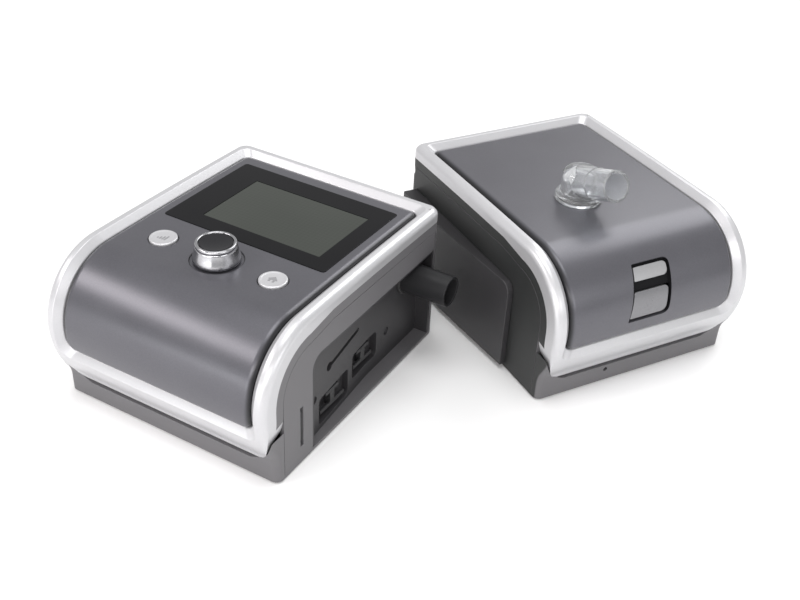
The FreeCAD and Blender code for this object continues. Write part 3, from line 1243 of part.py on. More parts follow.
def tub_lid():
    """Chamber lid with the raised outlet ring."""
    plate = tub_block(0.0, TUB_LID_FOOT, TUB_LID_TOP)
    ring = rod_z(ELBOW_RADIUS + COLLAR_WALL, OUTLET_X, OUTLET_Y, TUB_LID_TOP - 1.0, TUB_LID_TOP + 2.0)
    grip = rounded_block(-18.0, 18.0, TUB_REAR - 26.0, TUB_REAR - 22.0, TUB_LID_TOP - 1.0, TUB_LID_TOP + 3.0,
                         1.5, V(0, 0, 1))
    solid = join([plate, ring, grip])
    return solid.cut(rod_z(ELBOW_BORE, OUTLET_X, OUTLET_Y, TUB_LID_FOOT - 1.0, TUB_LID_TOP + 3.0))


# ---------------------------------------------------------------- humidifier: lid
def latch_window(margin):
    """Slanting window of the latch, smaller all round by a margin."""
    foot = LATCH_FOOT + margin
    top = LATCH_TOP - margin
    left = LATCH_LEFT + margin
    right = LATCH_RIGHT - margin
    corners = [V(left, -5.0, top), V(right, -5.0, top)]
    corners += [V(right + LATCH_RIGHT_FLARE, -5.0, foot), V(left + LATCH_LEFT_FLARE, -5.0, foot)]
    face = Part.Face(Part.makePolygon(corners + corners[:1]))
    solid = face.extrude(V(0, NOSE_RADIUS + 5.0, 0))
    rounded = edges_along(solid, V(0, 1, 0), lambda m: m.x > 0.0)
    return solid.makeFillet(LATCH_CORNER - margin, rounded)


def latch_slice(margin, foot, top):
    """Part of the latch's window between two heights."""
    return latch_window(margin).common(block(-HUMID_HALF, HUMID_HALF, -10.0, NOSE_RADIUS + 5.0, foot, top))


def lid_fascia():
    """Curved lid cover with the outlet's hole and the latch's window."""
    solid = fascia_skin(HUMID_WIDTH)
    solid = solid.cut(rod_z(ELBOW_RADIUS + MOTION_ROOM, OUTLET_X, OUTLET_Y, 0.0, CASE_HEIGHT + 5.0))
    return solid.cut(latch_window(0.0))


LATCH_SEAT = FASCIA_SINK + FASCIA_SKIN
LATCH_AIM = math.radians(15.0)


def latch_housing():
    """Dark backing of the latch's window, open behind the moving button."""
    solid = skin_band(LATCH_SEAT, LATCH_SEAT + 2.5, latch_window(-3.0))
    return solid.cut(latch_slice(0.0, LATCH_FOOT, LATCH_GAP_FOOT))


def latch_plate():
    """Fixed silver plate in the upper part of the latch's window."""
    plate = latch_slice(LATCH_MARGIN, LATCH_GAP_TOP, LATCH_TOP)
    return skin_band(FASCIA_SINK + LATCH_SINK, LATCH_SEAT, plate)


def latch_button():
    """Silver button in the lower part of the window, with its stem."""
    sunk = FASCIA_SINK + LATCH_SINK
    pad = skin_band(sunk, sunk + LATCH_THICKNESS, latch_slice(LATCH_MARGIN, LATCH_FOOT, LATCH_GAP_FOOT))
    middle = 0.5 * (LATCH_FOOT + LATCH_GAP_FOOT)
    start = V(0, sunk + 1.0, middle)
    stem = Part.makeCylinder(3.0, 12.0, start, V(0, math.cos(LATCH_AIM), -math.sin(LATCH_AIM)))
    return join([pad, stem])


LINER_FRONT = 30.0
LINER_SETBACK = 18.0
POST_INSET = 8.0            # lid liner's posts inside its sides
POST_FRONT = 22.0
POST_REAR = 12.0
POST_RADIUS = 3.0
LINER_REAR = CASE_DEPTH - LINER_SETBACK
LINER_HALF = HUMID_HALF - RIM_WIDTH - FASCIA_SKIN - 3.0


def lid_liner():
    """Inner plate of the lid on posts under the fascia, with the outlet's collar."""
    plate = rounded_block(-LINER_HALF, LINER_HALF, LINER_FRONT, LINER_REAR, LINER_FOOT, LINER_FOOT + LINER,
                          8.0, V(0, 0, 1))
    under = case_prism(LATCH_SEAT, HUMID_HALF, CASE_DEPTH, -5.0)
    plate = plate.common(case_prism(FASCIA_SINK + FASCIA_SKIRT + 1.0, HUMID_HALF, CASE_DEPTH, -5.0))
    parts = [plate]
    for x in (-LINER_HALF + POST_INSET, LINER_HALF - POST_INSET):
        for y in (LINER_FRONT + POST_FRONT, LINER_REAR - POST_REAR):
            parts.append(rod_z(POST_RADIUS, x, y, LINER_FOOT, CASE_HEIGHT).common(under))
    collar = tube_z(ELBOW_RADIUS + MOTION_ROOM + COLLAR_WALL, ELBOW_RADIUS + MOTION_ROOM, OUTLET_X, OUTLET_Y,
                    LINER_FOOT, CASE_HEIGHT).common(under)
    solid = join(parts + [collar])
    return solid.cut(rod_z(ELBOW_RADIUS + MOTION_ROOM, OUTLET_X, OUTLET_Y, 0.0, CASE_HEIGHT))


def outlet_ring_seal():
    """Rubber ring under the liner that closes on the chamber lid's outlet."""
    outer = ELBOW_RADIUS + MOTION_ROOM + COLLAR_WALL
    return tube_z(outer, ELBOW_BORE + 1.0, OUTLET_X, OUTLET_Y, TUB_LID_TOP + 2.0 + MOTION_ROOM, LINER_FOOT)


def lid_hinge():
    """Moving knuckles on webs under the frame's rear member."""
    foot = top_height(CASE_DEPTH, FLANK_HEIGHT)
    knuckles = []
    for x0, x1 in knuckle_spans(1):
        barrel = rod_x(HINGE_RADIUS, HINGE_Y, HINGE_Z, x0, x1)
        web = block(x0, x1, HINGE_Y - 2.0, CASE_DEPTH, HINGE_Z, foot)
        bore = rod_x(HINGE_PIN + RUNNING, HINGE_Y, HINGE_Z, x0 - 1.0, x1 + 1.0)
        knuckles.append(join([barrel, web]).cut(bore))
    return Part.makeCompound(knuckles)


def hinge_pin():
    spans = knuckle_spans(0)
    return rod_x(HINGE_PIN, HINGE_Y, HINGE_Z, spans[0][0], spans[-1][1])


def elbow_hub():
    """Point where the outlet's axis leaves the elbow's upright axis."""
    return V(OUTLET_X, OUTLET_Y, OUTLET_Z + ELBOW_RISE)


def elbow_aim():
    """Direction of the elbow's outlet: to the front and upwards."""
    tilt = math.radians(ELBOW_TILT)
    return V(0, -math.cos(tilt), math.sin(tilt))


def outlet_elbow():
    """Clear swivelling elbow: foot, flange, rounded upright and rising 22 mm outlet."""
    foot = LINER_FOOT + MOTION_ROOM
    seat = OUTLET_Z + MOTION_ROOM
    top = OUTLET_Z + ELBOW_BODY_HEIGHT
    flange = rod_z(ELBOW_FLANGE_RADIUS, OUTLET_X, OUTLET_Y, seat, seat + ELBOW_FLANGE_HEIGHT)
    rim = [edge for edge in flange.Edges if edge.BoundBox.ZMin > seat + ELBOW_FLANGE_HEIGHT - 0.01]
    upright = rod_z(ELBOW_BODY_RADIUS, OUTLET_X, OUTLET_Y, seat, top)
    crown = [edge for edge in upright.Edges if edge.BoundBox.ZMin > top - 0.01]
    hub = elbow_hub()
    aim = elbow_aim()
    outer = [
        rod_z(ELBOW_RADIUS, OUTLET_X, OUTLET_Y, foot, seat + 1.0),
        flange.makeFillet(1.5, rim),
        upright.makeFillet(ELBOW_CROWN, crown),
        Part.makeCylinder(ELBOW_RADIUS, ELBOW_REACH, hub, aim),
        Part.makeCylinder(ELBOW_COLLAR_RADIUS, ELBOW_REACH - ELBOW_CUFF, hub, aim),
    ]
    inner = [
        rod_z(ELBOW_BORE, OUTLET_X, OUTLET_Y, foot - 1.0, hub.z),
        Part.makeSphere(ELBOW_BORE, hub),
        Part.makeCylinder(ELBOW_BORE, ELBOW_REACH + 1.0, hub, aim),
    ]
    return outer[0].multiFuse(outer[1:]).cut(inner[0].multiFuse(inner[1:]))


# ---------------------------------------------------------------- the two units
def device_nodes():
    nodes = {
        "device_base": device_base(),
        "device_frame": silver_frame(DEVICE_WIDTH),
        "device_fascia": device_fascia(),
        "right_side_cover": right_side_cover(),
        "left_side_cover": left_side_cover(),
        "dock_panel": dock_panel(),
        "dock_catches": dock_catches(),
        "air_outlet": air_outlet(),
        "outlet_seal": outlet_seal(),
        "outlet_hose": outlet_hose(),
        "blower_housing": blower_housing(),
        "blower_mount": blower_mount(),
        "blower_motor": blower_motor(),
        "impeller": impeller(),
        "impeller_spindle": impeller_spindle(),
        "silencer_box": silencer_box(),
        "silencer_foam": silencer_foam(),
        "filter_frame": filter_frame(),
        "filter_pad": filter_pad(),
        "filter_door": filter_door(),
        "main_board": main_board(),
        "board_parts": board_parts(),
        "card_socket": card_socket(),
        "memory_card": memory_card(),
        "power_inlet": power_inlet(),
        "screen_lens": screen_lens(),
        "display_panel": display_panel(),
        "control_board": control_board(),
        "tact_switches": tact_switches(),
        "encoder": encoder(),
        "encoder_plunger": encoder_plunger(),
        "knob_shaft": knob_shaft(),
        "knob": knob(),
        "knob_cap": knob_cap(),
        "device_feet": rubber_feet(DEVICE_WIDTH),
        "device_screws": housing_screws(DEVICE_WIDTH),
    }
    for x, name in button_places():
        nodes[name] = push_button(x)
    return nodes


def humidifier_nodes():
    return {
        "humidifier_base": humidifier_base(),
        "dock_block": dock_block(),
        "inlet_socket": inlet_socket(),
        "inlet_duct": inlet_duct(),
        "heater_seat": heater_seat(),
        "heater_plate": heater_plate(),
        "tub_plate": tub_plate(),
        "water_tub": water_tub(),
        "tub_gasket": tub_gasket(),
        "tub_lid": tub_lid(),
        "lid_frame": silver_frame(HUMID_WIDTH),
        "lid_fascia": lid_fascia(),
        "lid_liner": lid_liner(),
        "lid_hinge": lid_hinge(),
        "hinge_pin": hinge_pin(),
        "outlet_ring_seal": outlet_ring_seal(),
        "latch_housing": latch_housing(),
        "latch_plate": latch_plate(),
        "latch_button": latch_button(),
        "outlet_elbow": outlet_elbow(),
        "humidifier_feet": rubber_feet(HUMID_WIDTH),
        "humidifier_screws": housing_screws(HUMID_WIDTH),
    }


def centring(shapes):
    """Move that brings the middle of the whole footprint to the origin."""
    low_x = low_y = math.inf
    high_x = high_y = -math.inf
    for shape in shapes:
        box = shape.optimalBoundingBox(False, False)
        low_x = min(low_x, box.XMin)
        high_x = max(high_x, box.XMax)
        low_y = min(low_y, box.YMin)
        high_y = max(high_y, box.YMax)
    return V(-0.5 * (low_x + high_x), -0.5 * (low_y + high_y), 0.0)


def layout():
    """All pieces on the table, the humidifier turned and standing beside the flow generator."""
    nodes = device_nodes()
    for name, shape in humidifier_nodes().items():
        shape.rotate(V(0, 0, 0), V(0, 0, 1), HUMID_TURN)
        shape.translate(V(HUMID_X, HUMID_Y, 0))
        nodes[name] = shape
    outer = ("device_frame", "device_base", "air_outlet", "lid_frame", "humidifier_base", "dock_block")
    move = centring([nodes[name] for name in outer])
    for shape in nodes.values():
        shape.translate(move)
    print("footprint centre moved by", round(move.x, 4), round(move.y, 4))
    return nodes


os.makedirs("parts", exist_ok=True)
for node, shape in layout().items():
    shape.exportStep("parts/" + node + ".step")
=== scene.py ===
import json
import logging
import math
from contextlib import contextmanager
from dataclasses import dataclass, replace
from enum import Enum
from typing import Callable, Iterator, Optional, Sequence

import bmesh
import bpy
from mathutils import Matrix, Vector


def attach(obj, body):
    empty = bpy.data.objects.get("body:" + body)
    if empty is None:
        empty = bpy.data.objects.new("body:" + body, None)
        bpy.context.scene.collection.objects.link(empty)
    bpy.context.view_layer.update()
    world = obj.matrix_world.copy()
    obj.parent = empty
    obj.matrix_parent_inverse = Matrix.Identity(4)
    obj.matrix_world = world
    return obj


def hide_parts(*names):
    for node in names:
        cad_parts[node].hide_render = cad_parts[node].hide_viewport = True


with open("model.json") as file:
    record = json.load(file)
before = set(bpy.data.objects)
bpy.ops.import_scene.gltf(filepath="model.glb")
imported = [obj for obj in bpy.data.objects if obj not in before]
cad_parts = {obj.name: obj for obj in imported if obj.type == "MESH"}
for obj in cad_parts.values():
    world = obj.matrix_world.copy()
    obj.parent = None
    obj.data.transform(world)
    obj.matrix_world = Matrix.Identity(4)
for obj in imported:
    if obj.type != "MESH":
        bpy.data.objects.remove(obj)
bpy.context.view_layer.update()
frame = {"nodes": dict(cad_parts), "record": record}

LOG = logging.getLogger("machine")
MM = 0.001
Pair = tuple[float, float]
Point = tuple[float, float, float]
Piece = bpy.types.Object
EdgeTest = Callable[[Vector, Vector], bool]

# Sizes shared with the solids, in millimetres
CASE_DEPTH = 208.0
CASE_HEIGHT = 106.8
NOSE_RADIUS = 48.5
CHIN_RADIUS = 66.0
CHIN_BLEND = 20.0
SKIRT_SETBACK = 13.0
REAR_DROP = 2.3
EDGE_ROUND = 5.0
REAR_CORNER = 9.0
NOSE_Z = CASE_HEIGHT - NOSE_RADIUS
TOP_RUN = CASE_DEPTH - NOSE_RADIUS
CROWN_RADIUS = (TOP_RUN ** 2 + REAR_DROP ** 2) / (2.0 * REAR_DROP)
CROWN = (NOSE_RADIUS, CASE_HEIGHT - CROWN_RADIUS)
CHIN_REACH = CHIN_RADIUS + CHIN_BLEND - SKIRT_SETBACK
CHIN_RISE = math.sqrt((CHIN_RADIUS + CHIN_BLEND) ** 2 - CHIN_REACH ** 2)
CHIN_ANGLE = math.atan2(CHIN_RISE, CHIN_REACH)
BLEND_Z = NOSE_Z - CHIN_RISE
CHIN_LENGTH = CHIN_ANGLE * (CHIN_BLEND + CHIN_RADIUS)   # profile lengths from the front's foot
NOSE_LENGTH = CHIN_LENGTH + 0.5 * math.pi * NOSE_RADIUS
FLANK_HEIGHT = 16.0
FRONT_DEPTH = 19.5
SHOULDER_RUN = 24.0
RIM_WIDTH = 11.8
RIM_SLOPE = 4.5
RIM_DEPTH = 8.0
RIM_FOOT = 14.0
RIM_SILL = 42.5
RIM_CORNER = 8.0
RIM_REAR_CORNER = 5.8
FOOT_CORNER_WIDTH = 21.0
FOOT_CORNER_HEIGHT = 36.0
FASCIA_SINK = 2.6
FASCIA_SKIN = 3.0
FASCIA_ROLL = 6.0
FASCIA_SKIRT = 10.0
FIT = 0.2
DEVICE_WIDTH = 170.0
HUMID_WIDTH = 161.0
LIP_RISE = 7.0              # dark lip above the covers' seam
LIP_DEPTH = 0.45
SHIFT = (-97.0262, -205.4650)
HUMID_TURN = 57.5
HUMID_PLACE = (237.703, 234.705)
CONTROL_ROW = 69.0
NEAR = 0.01                 # tolerance of the edge tests
TOOL_OVER = 3.0             # how far the opening's tools stand over the surface
TOOL_OUT = 5.0              # how far other tools stand out
RIM_WALL = 3.0
SMOOTH_LIMIT = 35.0         # degrees


def top_height(y: float, inset: float) -> float:
    """Height of the crowned top at depth y, a given inset under the surface."""
    return CROWN[1] + math.sqrt((CROWN_RADIUS - inset) ** 2 - (y - NOSE_RADIUS) ** 2)


FASCIA_Z = top_height(CONTROL_ROW, FASCIA_SINK)


class Unit(Enum):
    """The two units on the table, each with its own upright frame."""

    DEVICE = "device"
    HUMIDIFIER = "humidifier"

    def matrix(self) -> Matrix:
        """Move from the unit's own millimetres to the table's metres."""
        table = Matrix.Diagonal((MM, MM, MM, 1.0)) @ Matrix.Translation((*SHIFT, 0.0))
        if self is Unit.DEVICE:
            return table
        return table @ Matrix.Translation((*HUMID_PLACE, 0.0)) @ Matrix.Rotation(math.radians(HUMID_TURN), 4, "Z")


# --- modelling with operators
def activate(obj: Piece) -> None:
    """Select one object alone and make it active."""
    bpy.ops.object.select_all(action="DESELECT")
    obj.select_set(True)
    bpy.context.view_layer.objects.active = obj


@contextmanager
def editing(obj: Piece, action: str = "SELECT") -> Iterator[None]:
    """Hold one object in edit mode, with all of it selected or deselected."""
    activate(obj)
    bpy.ops.object.mode_set(mode="EDIT")
    bpy.ops.mesh.select_all(action=action)
    yield
    bpy.ops.object.mode_set(mode="OBJECT")


def settle(obj: Piece) -> Piece:
    """Apply an object's place, turn and size to its mesh."""
    activate(obj)
    bpy.ops.object.transform_apply(location=True, rotation=True, scale=True)
    return obj


def copy_of(obj: Piece, name: str) -> Piece:
    """Duplicate a piece with its own mesh, under a new name."""
    activate(obj)
    bpy.ops.object.duplicate()
    bpy.context.object.name = name
    return bpy.context.object


def modify(obj: Piece, kind: str, **settings: object) -> None:
    """Add a modifier and apply it.

    Args:
        obj: the piece.
        kind: modifier type.
        settings: the modifier's attributes.
    """
    activate(obj)
    change = obj.modifiers.new(kind.lower(), kind)
    for key, value in settings.items():
        setattr(change, key, value)
    bpy.ops.object.modifier_apply(modifier=change.name)


def cut(obj: Piece, tool: Piece, operation: str = "DIFFERENCE") -> None:
    """Apply a boolean (DIFFERENCE, UNION or INTERSECT) and remove its tool."""
    modify(obj, "BOOLEAN", operation=operation, solver="MANIFOLD", object=tool)
    bpy.data.objects.remove(tool, do_unlink=True)


def box(name: str, low: Point, high: Point) -> Piece:
    """Cube between two corners, as a start or a cutting tool."""
    middle = [0.5 * (a + b) for a, b in zip(low, high)]
    size = [b - a for a, b in zip(low, high)]
    bpy.ops.mesh.primitive_cube_add(size=1.0, location=middle, scale=size)
    bpy.context.object.name = name
    return settle(bpy.context.object)


def choose(obj: Piece, kind: str, test: Callable[..., bool]) -> None:
    """Select those edges or faces (EDGE or FACE) of a piece in edit mode whose corners pass a test."""
    bpy.ops.mesh.select_mode(type=kind)
    mesh = bmesh.from_edit_mesh(obj.data)
    for item in mesh.edges if kind == "EDGE" else mesh.faces:
        item.select_set(test(*[vert.co for vert in item.verts]))
    bmesh.update_edit_mesh(obj.data)


def bevel_where(obj: Piece, test: EdgeTest, width: float, segments: int, clamp: bool = True) -> None:
    """Round the edges that pass a test.

    Args:
        obj: the object to change.
        test: gets both ends of an edge.
        width: radius of the rounding.
        segments: steps across it.
        clamp: whether short neighbouring edges hold the width back.
    """
    with editing(obj, "DESELECT"):
        choose(obj, "EDGE", test)
        bpy.ops.mesh.bevel(offset=width, segments=segments, affect="EDGES", clamp_overlap=clamp)


def clean(obj: Piece) -> None:
    """Merge doubles and point all faces outwards."""
    with editing(obj):
        bpy.ops.mesh.remove_doubles(threshold=0.002)
        bpy.ops.mesh.normals_make_consistent(inside=False)


def poly_curve(name: str, points: Sequence[Pair], closed: bool) -> Piece:
    """Flat curve through points, as an outline or as a path to bend along."""
    curve = bpy.data.curves.new(name, "CURVE")
    curve.dimensions = "2D"
    spline = curve.splines.new("POLY")
    spline.points.add(len(points) - 1)
    for knot, point in zip(spline.points, points):
        knot.co = (*point, 0.0, 1.0)
    spline.use_cyclic_u = closed
    obj = bpy.data.objects.new(name, curve)
    bpy.context.collection.objects.link(obj)
    return obj


def outline_prism(name: str, points: Sequence[Pair], low: float, high: float, axis: str) -> Piece:
    """Prism of a closed outline, made from a filled curve.

    Args:
        name: object name.
        points: the outline; (y, z) for axis X, (x, z) for axis Y, (x, y) for axis Z.
        low: start along the axis.
        high: end along the axis.
        axis: X, Y or Z.

    Returns:
        The prism as a mesh.
    """
    outline = poly_curve(name, points, True)
    outline.data.fill_mode = "BOTH"
    outline.data.extrude = 0.5 * (high - low)
    activate(outline)
    bpy.ops.object.convert(target="MESH")
    obj = bpy.context.object
    middle = 0.5 * (low + high)
    obj.matrix_world = {
        "X": Matrix(((0, 0, 1, middle), (1, 0, 0, 0), (0, 1, 0, 0), (0, 0, 0, 1))),
        "Y": Matrix(((1, 0, 0, 0), (0, 0, -1, middle), (0, 1, 0, 0), (0, 0, 0, 1))),
        "Z": Matrix.Translation((0, 0, middle)),
    }[axis]
    settle(obj)
    clean(obj)
    return obj


def arc(centre: Pair, radius: float, start: float, end: float, steps: int) -> list[Pair]:
    """Points along an arc, angles in degrees, both ends included."""
    turns = [math.radians(start + (end - start) * index / steps) for index in range(steps + 1)]
    return [(centre[0] + radius * math.cos(turn), centre[1] + radius * math.sin(turn)) for turn in turns]


def turned(name: str, profile: Sequence[Pair], x: float = 0.0, y: float = 0.0, steps: int = 96,
           hollow: bool = False) -> Piece:
    """Turned piece: a circle extruded and scaled step by step along its profile.

    Args:
        name: object name.
        profile: (radius, height) pairs; a hollow piece's last pair repeats the first.
        x, y: place of the upright axis.
        steps: points round the circle.
        hollow: whether the profile closes on itself round a bore.

    Returns:
        The closed piece.
    """
    radius, height = profile[0]
    fill = "NOTHING" if hollow else "NGON"
    bpy.ops.mesh.primitive_circle_add(vertices=steps, radius=radius, location=(x, y, height), fill_type=fill)
    obj = bpy.context.object
    obj.name = name
    settle(obj)
    with editing(obj):
        if hollow:
            bpy.ops.mesh.select_mode(type="EDGE")
        for next_radius, next_height in profile[1:]:
            bpy.ops.mesh.extrude_region_move(TRANSFORM_OT_translate={"value": (0.0, 0.0, next_height - height)})
            ratio = next_radius / radius
            bpy.ops.transform.resize(value=(ratio, ratio, 1.0), center_override=(x, y, next_height))
            radius, height = next_radius, next_height
    clean(obj)
    return obj


def beside(first: float, second: float, *steps: Pair) -> list[Pair]:
    """Points at small steps from one point, such as a radius and a height of a profile."""
    return [(first + a, second + b) for a, b in steps]


def soften(obj: Piece, width: float, segments: int, angle: float) -> None:
    """Bevel all edges of a piece that are sharper than an angle."""
    modify(obj, "BEVEL", width=width, segments=segments, limit_method="ANGLE", angle_limit=math.radians(angle),
           miter_outer="MITER_ARC")


# --- materials
class Graph:
    """Builds one material's nodes."""

    def __init__(self, name: str) -> None:
        """Start a material with a Principled shader."""
        self.material = bpy.data.materials.new(name)
        self.material.use_nodes = True
        self.tree = self.material.node_tree
        self.shader = self.tree.nodes["Principled BSDF"]

    def node(self, kind: str, settings: Optional[dict] = None, **inputs: object) -> bpy.types.Node:
        """Add a node.

        Args:
            kind: shader node type, without its common start.
            settings: attributes set before the inputs.
            inputs: socket values or links; underscores stand for spaces, a leading i for an index.

        Returns:
            The node.
        """
        node = self.tree.nodes.new("ShaderNode" + kind)
        for key, value in (settings or {}).items():
            setattr(node, key, value)
        for key, value in inputs.items():
            socket = node.inputs[int(key[1:])] if key[1:].isdigit() else node.inputs[key.replace("_", " ")]
            self.feed(socket, value)
        return node

    def take(self, output: object, kind: str, settings: Optional[dict] = None, **inputs: object) -> "Sock":
        """Add a node and wrap one of its outputs, given by name or place."""
        return Sock(self, self.node(kind, settings, **inputs).outputs[output])

    def feed(self, socket: bpy.types.NodeSocket, value: object) -> None:
        """Link a wrapped socket or set a plain value."""
        if isinstance(value, Sock):
            self.tree.links.new(value.socket, socket)
        else:
            socket.default_value = value

    def coords(self, kind: str = "Object") -> "Sock":
        """Object coordinates in metres, or another output of Texture Coordinate."""
        return self.take(kind, "TexCoord")

    def noise(self, scale: float, detail: float, roughness: float = 0.5) -> "Sock":
        """Noise over object coordinates, from 0 to 1."""
        return self.take("Fac", "TexNoise", Vector=self.coords(), Scale=scale, Detail=detail, Roughness=roughness)

    def blend(self, share: "Sock", first: object, second: object) -> "Sock":
        """Mix two colours, plain or wrapped, by a share."""
        made = self.node("Mix", {"data_type": "RGBA"}, Factor=share)
        for key, colour in (("A", first), ("B", second)):
            self.feed(made.inputs[key], (*colour, 1.0) if isinstance(colour, tuple) else colour)
        return Sock(self, made.outputs["Result"])

    def lean(self, axis: Point, start: float, end: float, both: bool = True) -> "Sock":
        """How far a surface leans sideways, used as the mask of painted shade.

        Args:
            axis: the sideways direction.
            start: lean that counts as 0.
            end: lean that counts as 1.
            both: whether both sides count.

        Returns:
            The share from 0 to 1.
        """
        along = self.take("Value", "VectorMath", {"operation": "DOT_PRODUCT"}, i0=self.coords("Normal"), i1=axis)
        if both:
            along = self.take(0, "Math", {"operation": "ABSOLUTE"}, i0=along)
        return self.take(0, "MapRange", {"interpolation_type": "SMOOTHSTEP"}, Value=along, From_Min=start,
                         From_Max=end)


class Sock:
    """A number socket that builds Math nodes from Python expressions."""

    def __init__(self, graph: Graph, socket: bpy.types.NodeSocket) -> None:
        """Keep the graph and the socket."""
        self.graph, self.socket = graph, socket

    def math(self, operation: str, first: object, second: object) -> "Sock":
        """One Math node."""
        return self.graph.take(0, "Math", {"operation": operation}, i0=first, i1=second)

    def __add__(self, other: object) -> "Sock":
        """Sum."""
        return self.math("ADD", self, other)

    def __mul__(self, other: object) -> "Sock":
        """Product."""
        return self.math("MULTIPLY", self, other)

    __radd__, __rmul__ = __add__, __mul__       # both keep their value when the sides swap


@dataclass(frozen=True)
class Finish:
    """One surface finish with fine procedural detail, and painted shade on surfaces that lean a given way."""

    name: str
    colour: Point
    shade: Point
    metallic: float = 0.0
    rough: float = 0.4
    rough_span: float = 0.08
    grain: float = 900.0
    grain_bump: float = 0.05
    flakes: float = 0.0
    coat: float = 0.0
    coat_rough: float = 0.15
    ior: float = 1.5
    specular: float = 0.5
    clear: float = 0.0
    # painted shade and reflection: surfaces that lean along this axis, the fascia's rolled edges, darken as if shaded
    # in the dark gap by the frame
    shaded_edge_axis: Optional[Point] = None
    # painted shade: sides that face along this axis darken, the shadow between the two units
    shaded_side_axis: Optional[Point] = None

    def build(self) -> bpy.types.Material:
        """Make the material.

        Returns:
            The material, with colour, roughness and bump that vary finely, and colour darkened as painted shade where
            asked.
        """
        graph = Graph(self.name)
        sockets = graph.shader.inputs
        cloud, grain = graph.noise(38.0, 3.0), graph.noise(self.grain, 2.0, 0.6)
        share = cloud * 0.35 + grain * 0.35
        if self.flakes > 0.0:
            cells = graph.take("Color", "TexVoronoi", Vector=graph.coords(), Scale=FLAKE_SCALE)
            share = share + graph.take(0, "SeparateColor", Color=cells) * self.flakes
        colour = graph.blend(share, self.shade, self.colour)
        # painted shade on rolled edges that lean sideways
        if self.shaded_edge_axis:
            colour = graph.blend(graph.lean(self.shaded_edge_axis, 0.15, 0.75), colour, EDGE_PAINTED_SHADE)
        # painted shade: sides that face the other unit are darkened
        if self.shaded_side_axis:
            colour = graph.blend(graph.lean(self.shaded_side_axis, 0.85, 0.95, both=False), colour, SIDE_PAINTED_SHADE)
        graph.feed(sockets["Base Color"], colour)
        rough = grain * self.rough_span + cloud * self.rough_span + (self.rough - self.rough_span)
        graph.feed(sockets["Roughness"], rough)
        settings = {"Metallic": self.metallic, "Coat Weight": self.coat, "Coat Roughness": self.coat_rough,
                    "IOR": self.ior, "Specular IOR Level": self.specular, "Transmission Weight": self.clear}
        for key, value in settings.items():
            sockets[key].default_value = value
        bump = graph.take("Normal", "Bump", Height=grain, Strength=self.grain_bump, Distance=0.0002)
        graph.feed(sockets["Normal"], bump)
        return graph.material


def display_material() -> bpy.types.Material:
    """Unlit liquid-crystal panel: grey-green with a faint pixel grid."""
    graph = Graph("display")
    sockets = graph.shader.inputs
    split = graph.node("SeparateXYZ", Vector=graph.coords())
    rows, columns = [graph.take(0, "Math", {"operation": "SINE"}, i0=Sock(graph, axis) * PIXEL_PITCH)
                     for axis in split.outputs[:2]]
    cloud = graph.noise(12.0, 2.0)
    share = cloud * 0.8 + (rows + columns) * 0.06 + 0.05
    graph.feed(sockets["Base Color"], graph.blend(share, (0.030, 0.034, 0.029), (0.048, 0.053, 0.046)))
    graph.feed(sockets["Roughness"], cloud * 0.06 + 0.10)
    sockets["Specular IOR Level"].default_value = 0.3
    return graph.material


WHITE = (1.0, 1.0, 1.0)
PIXEL_PITCH = 2200.0
FLAKE_SCALE = 2600.0
# colour of the painted shade on rolled edges
EDGE_PAINTED_SHADE = (0.018, 0.018, 0.02)
# colour of the painted shadow between the units
SIDE_PAINTED_SHADE = (0.019, 0.02, 0.02)
LID_AXIS = (math.cos(math.radians(HUMID_TURN)), math.sin(math.radians(HUMID_TURN)), 0.0)
SILVER_LATCH = Finish("latch_silver", (0.5, 0.5, 0.51), (0.38, 0.38, 0.39), metallic=0.75, rough=0.3, flakes=0.25,
                      grain_bump=0.04)
# the fascia's rolled side edges get painted shade
FASCIA_GREY = Finish("fascia_grey", (0.125, 0.124, 0.14), (0.085, 0.084, 0.096), metallic=0.55, rough=0.34,
                     flakes=0.35, coat=0.25, coat_rough=0.25, grain_bump=0.03, shaded_edge_axis=(1.0, 0.0, 0.0))
CASE_GREY = Finish("case_grey", (0.15, 0.147, 0.155), (0.11, 0.107, 0.112), rough=0.52, grain=1400.0, grain_bump=0.22)
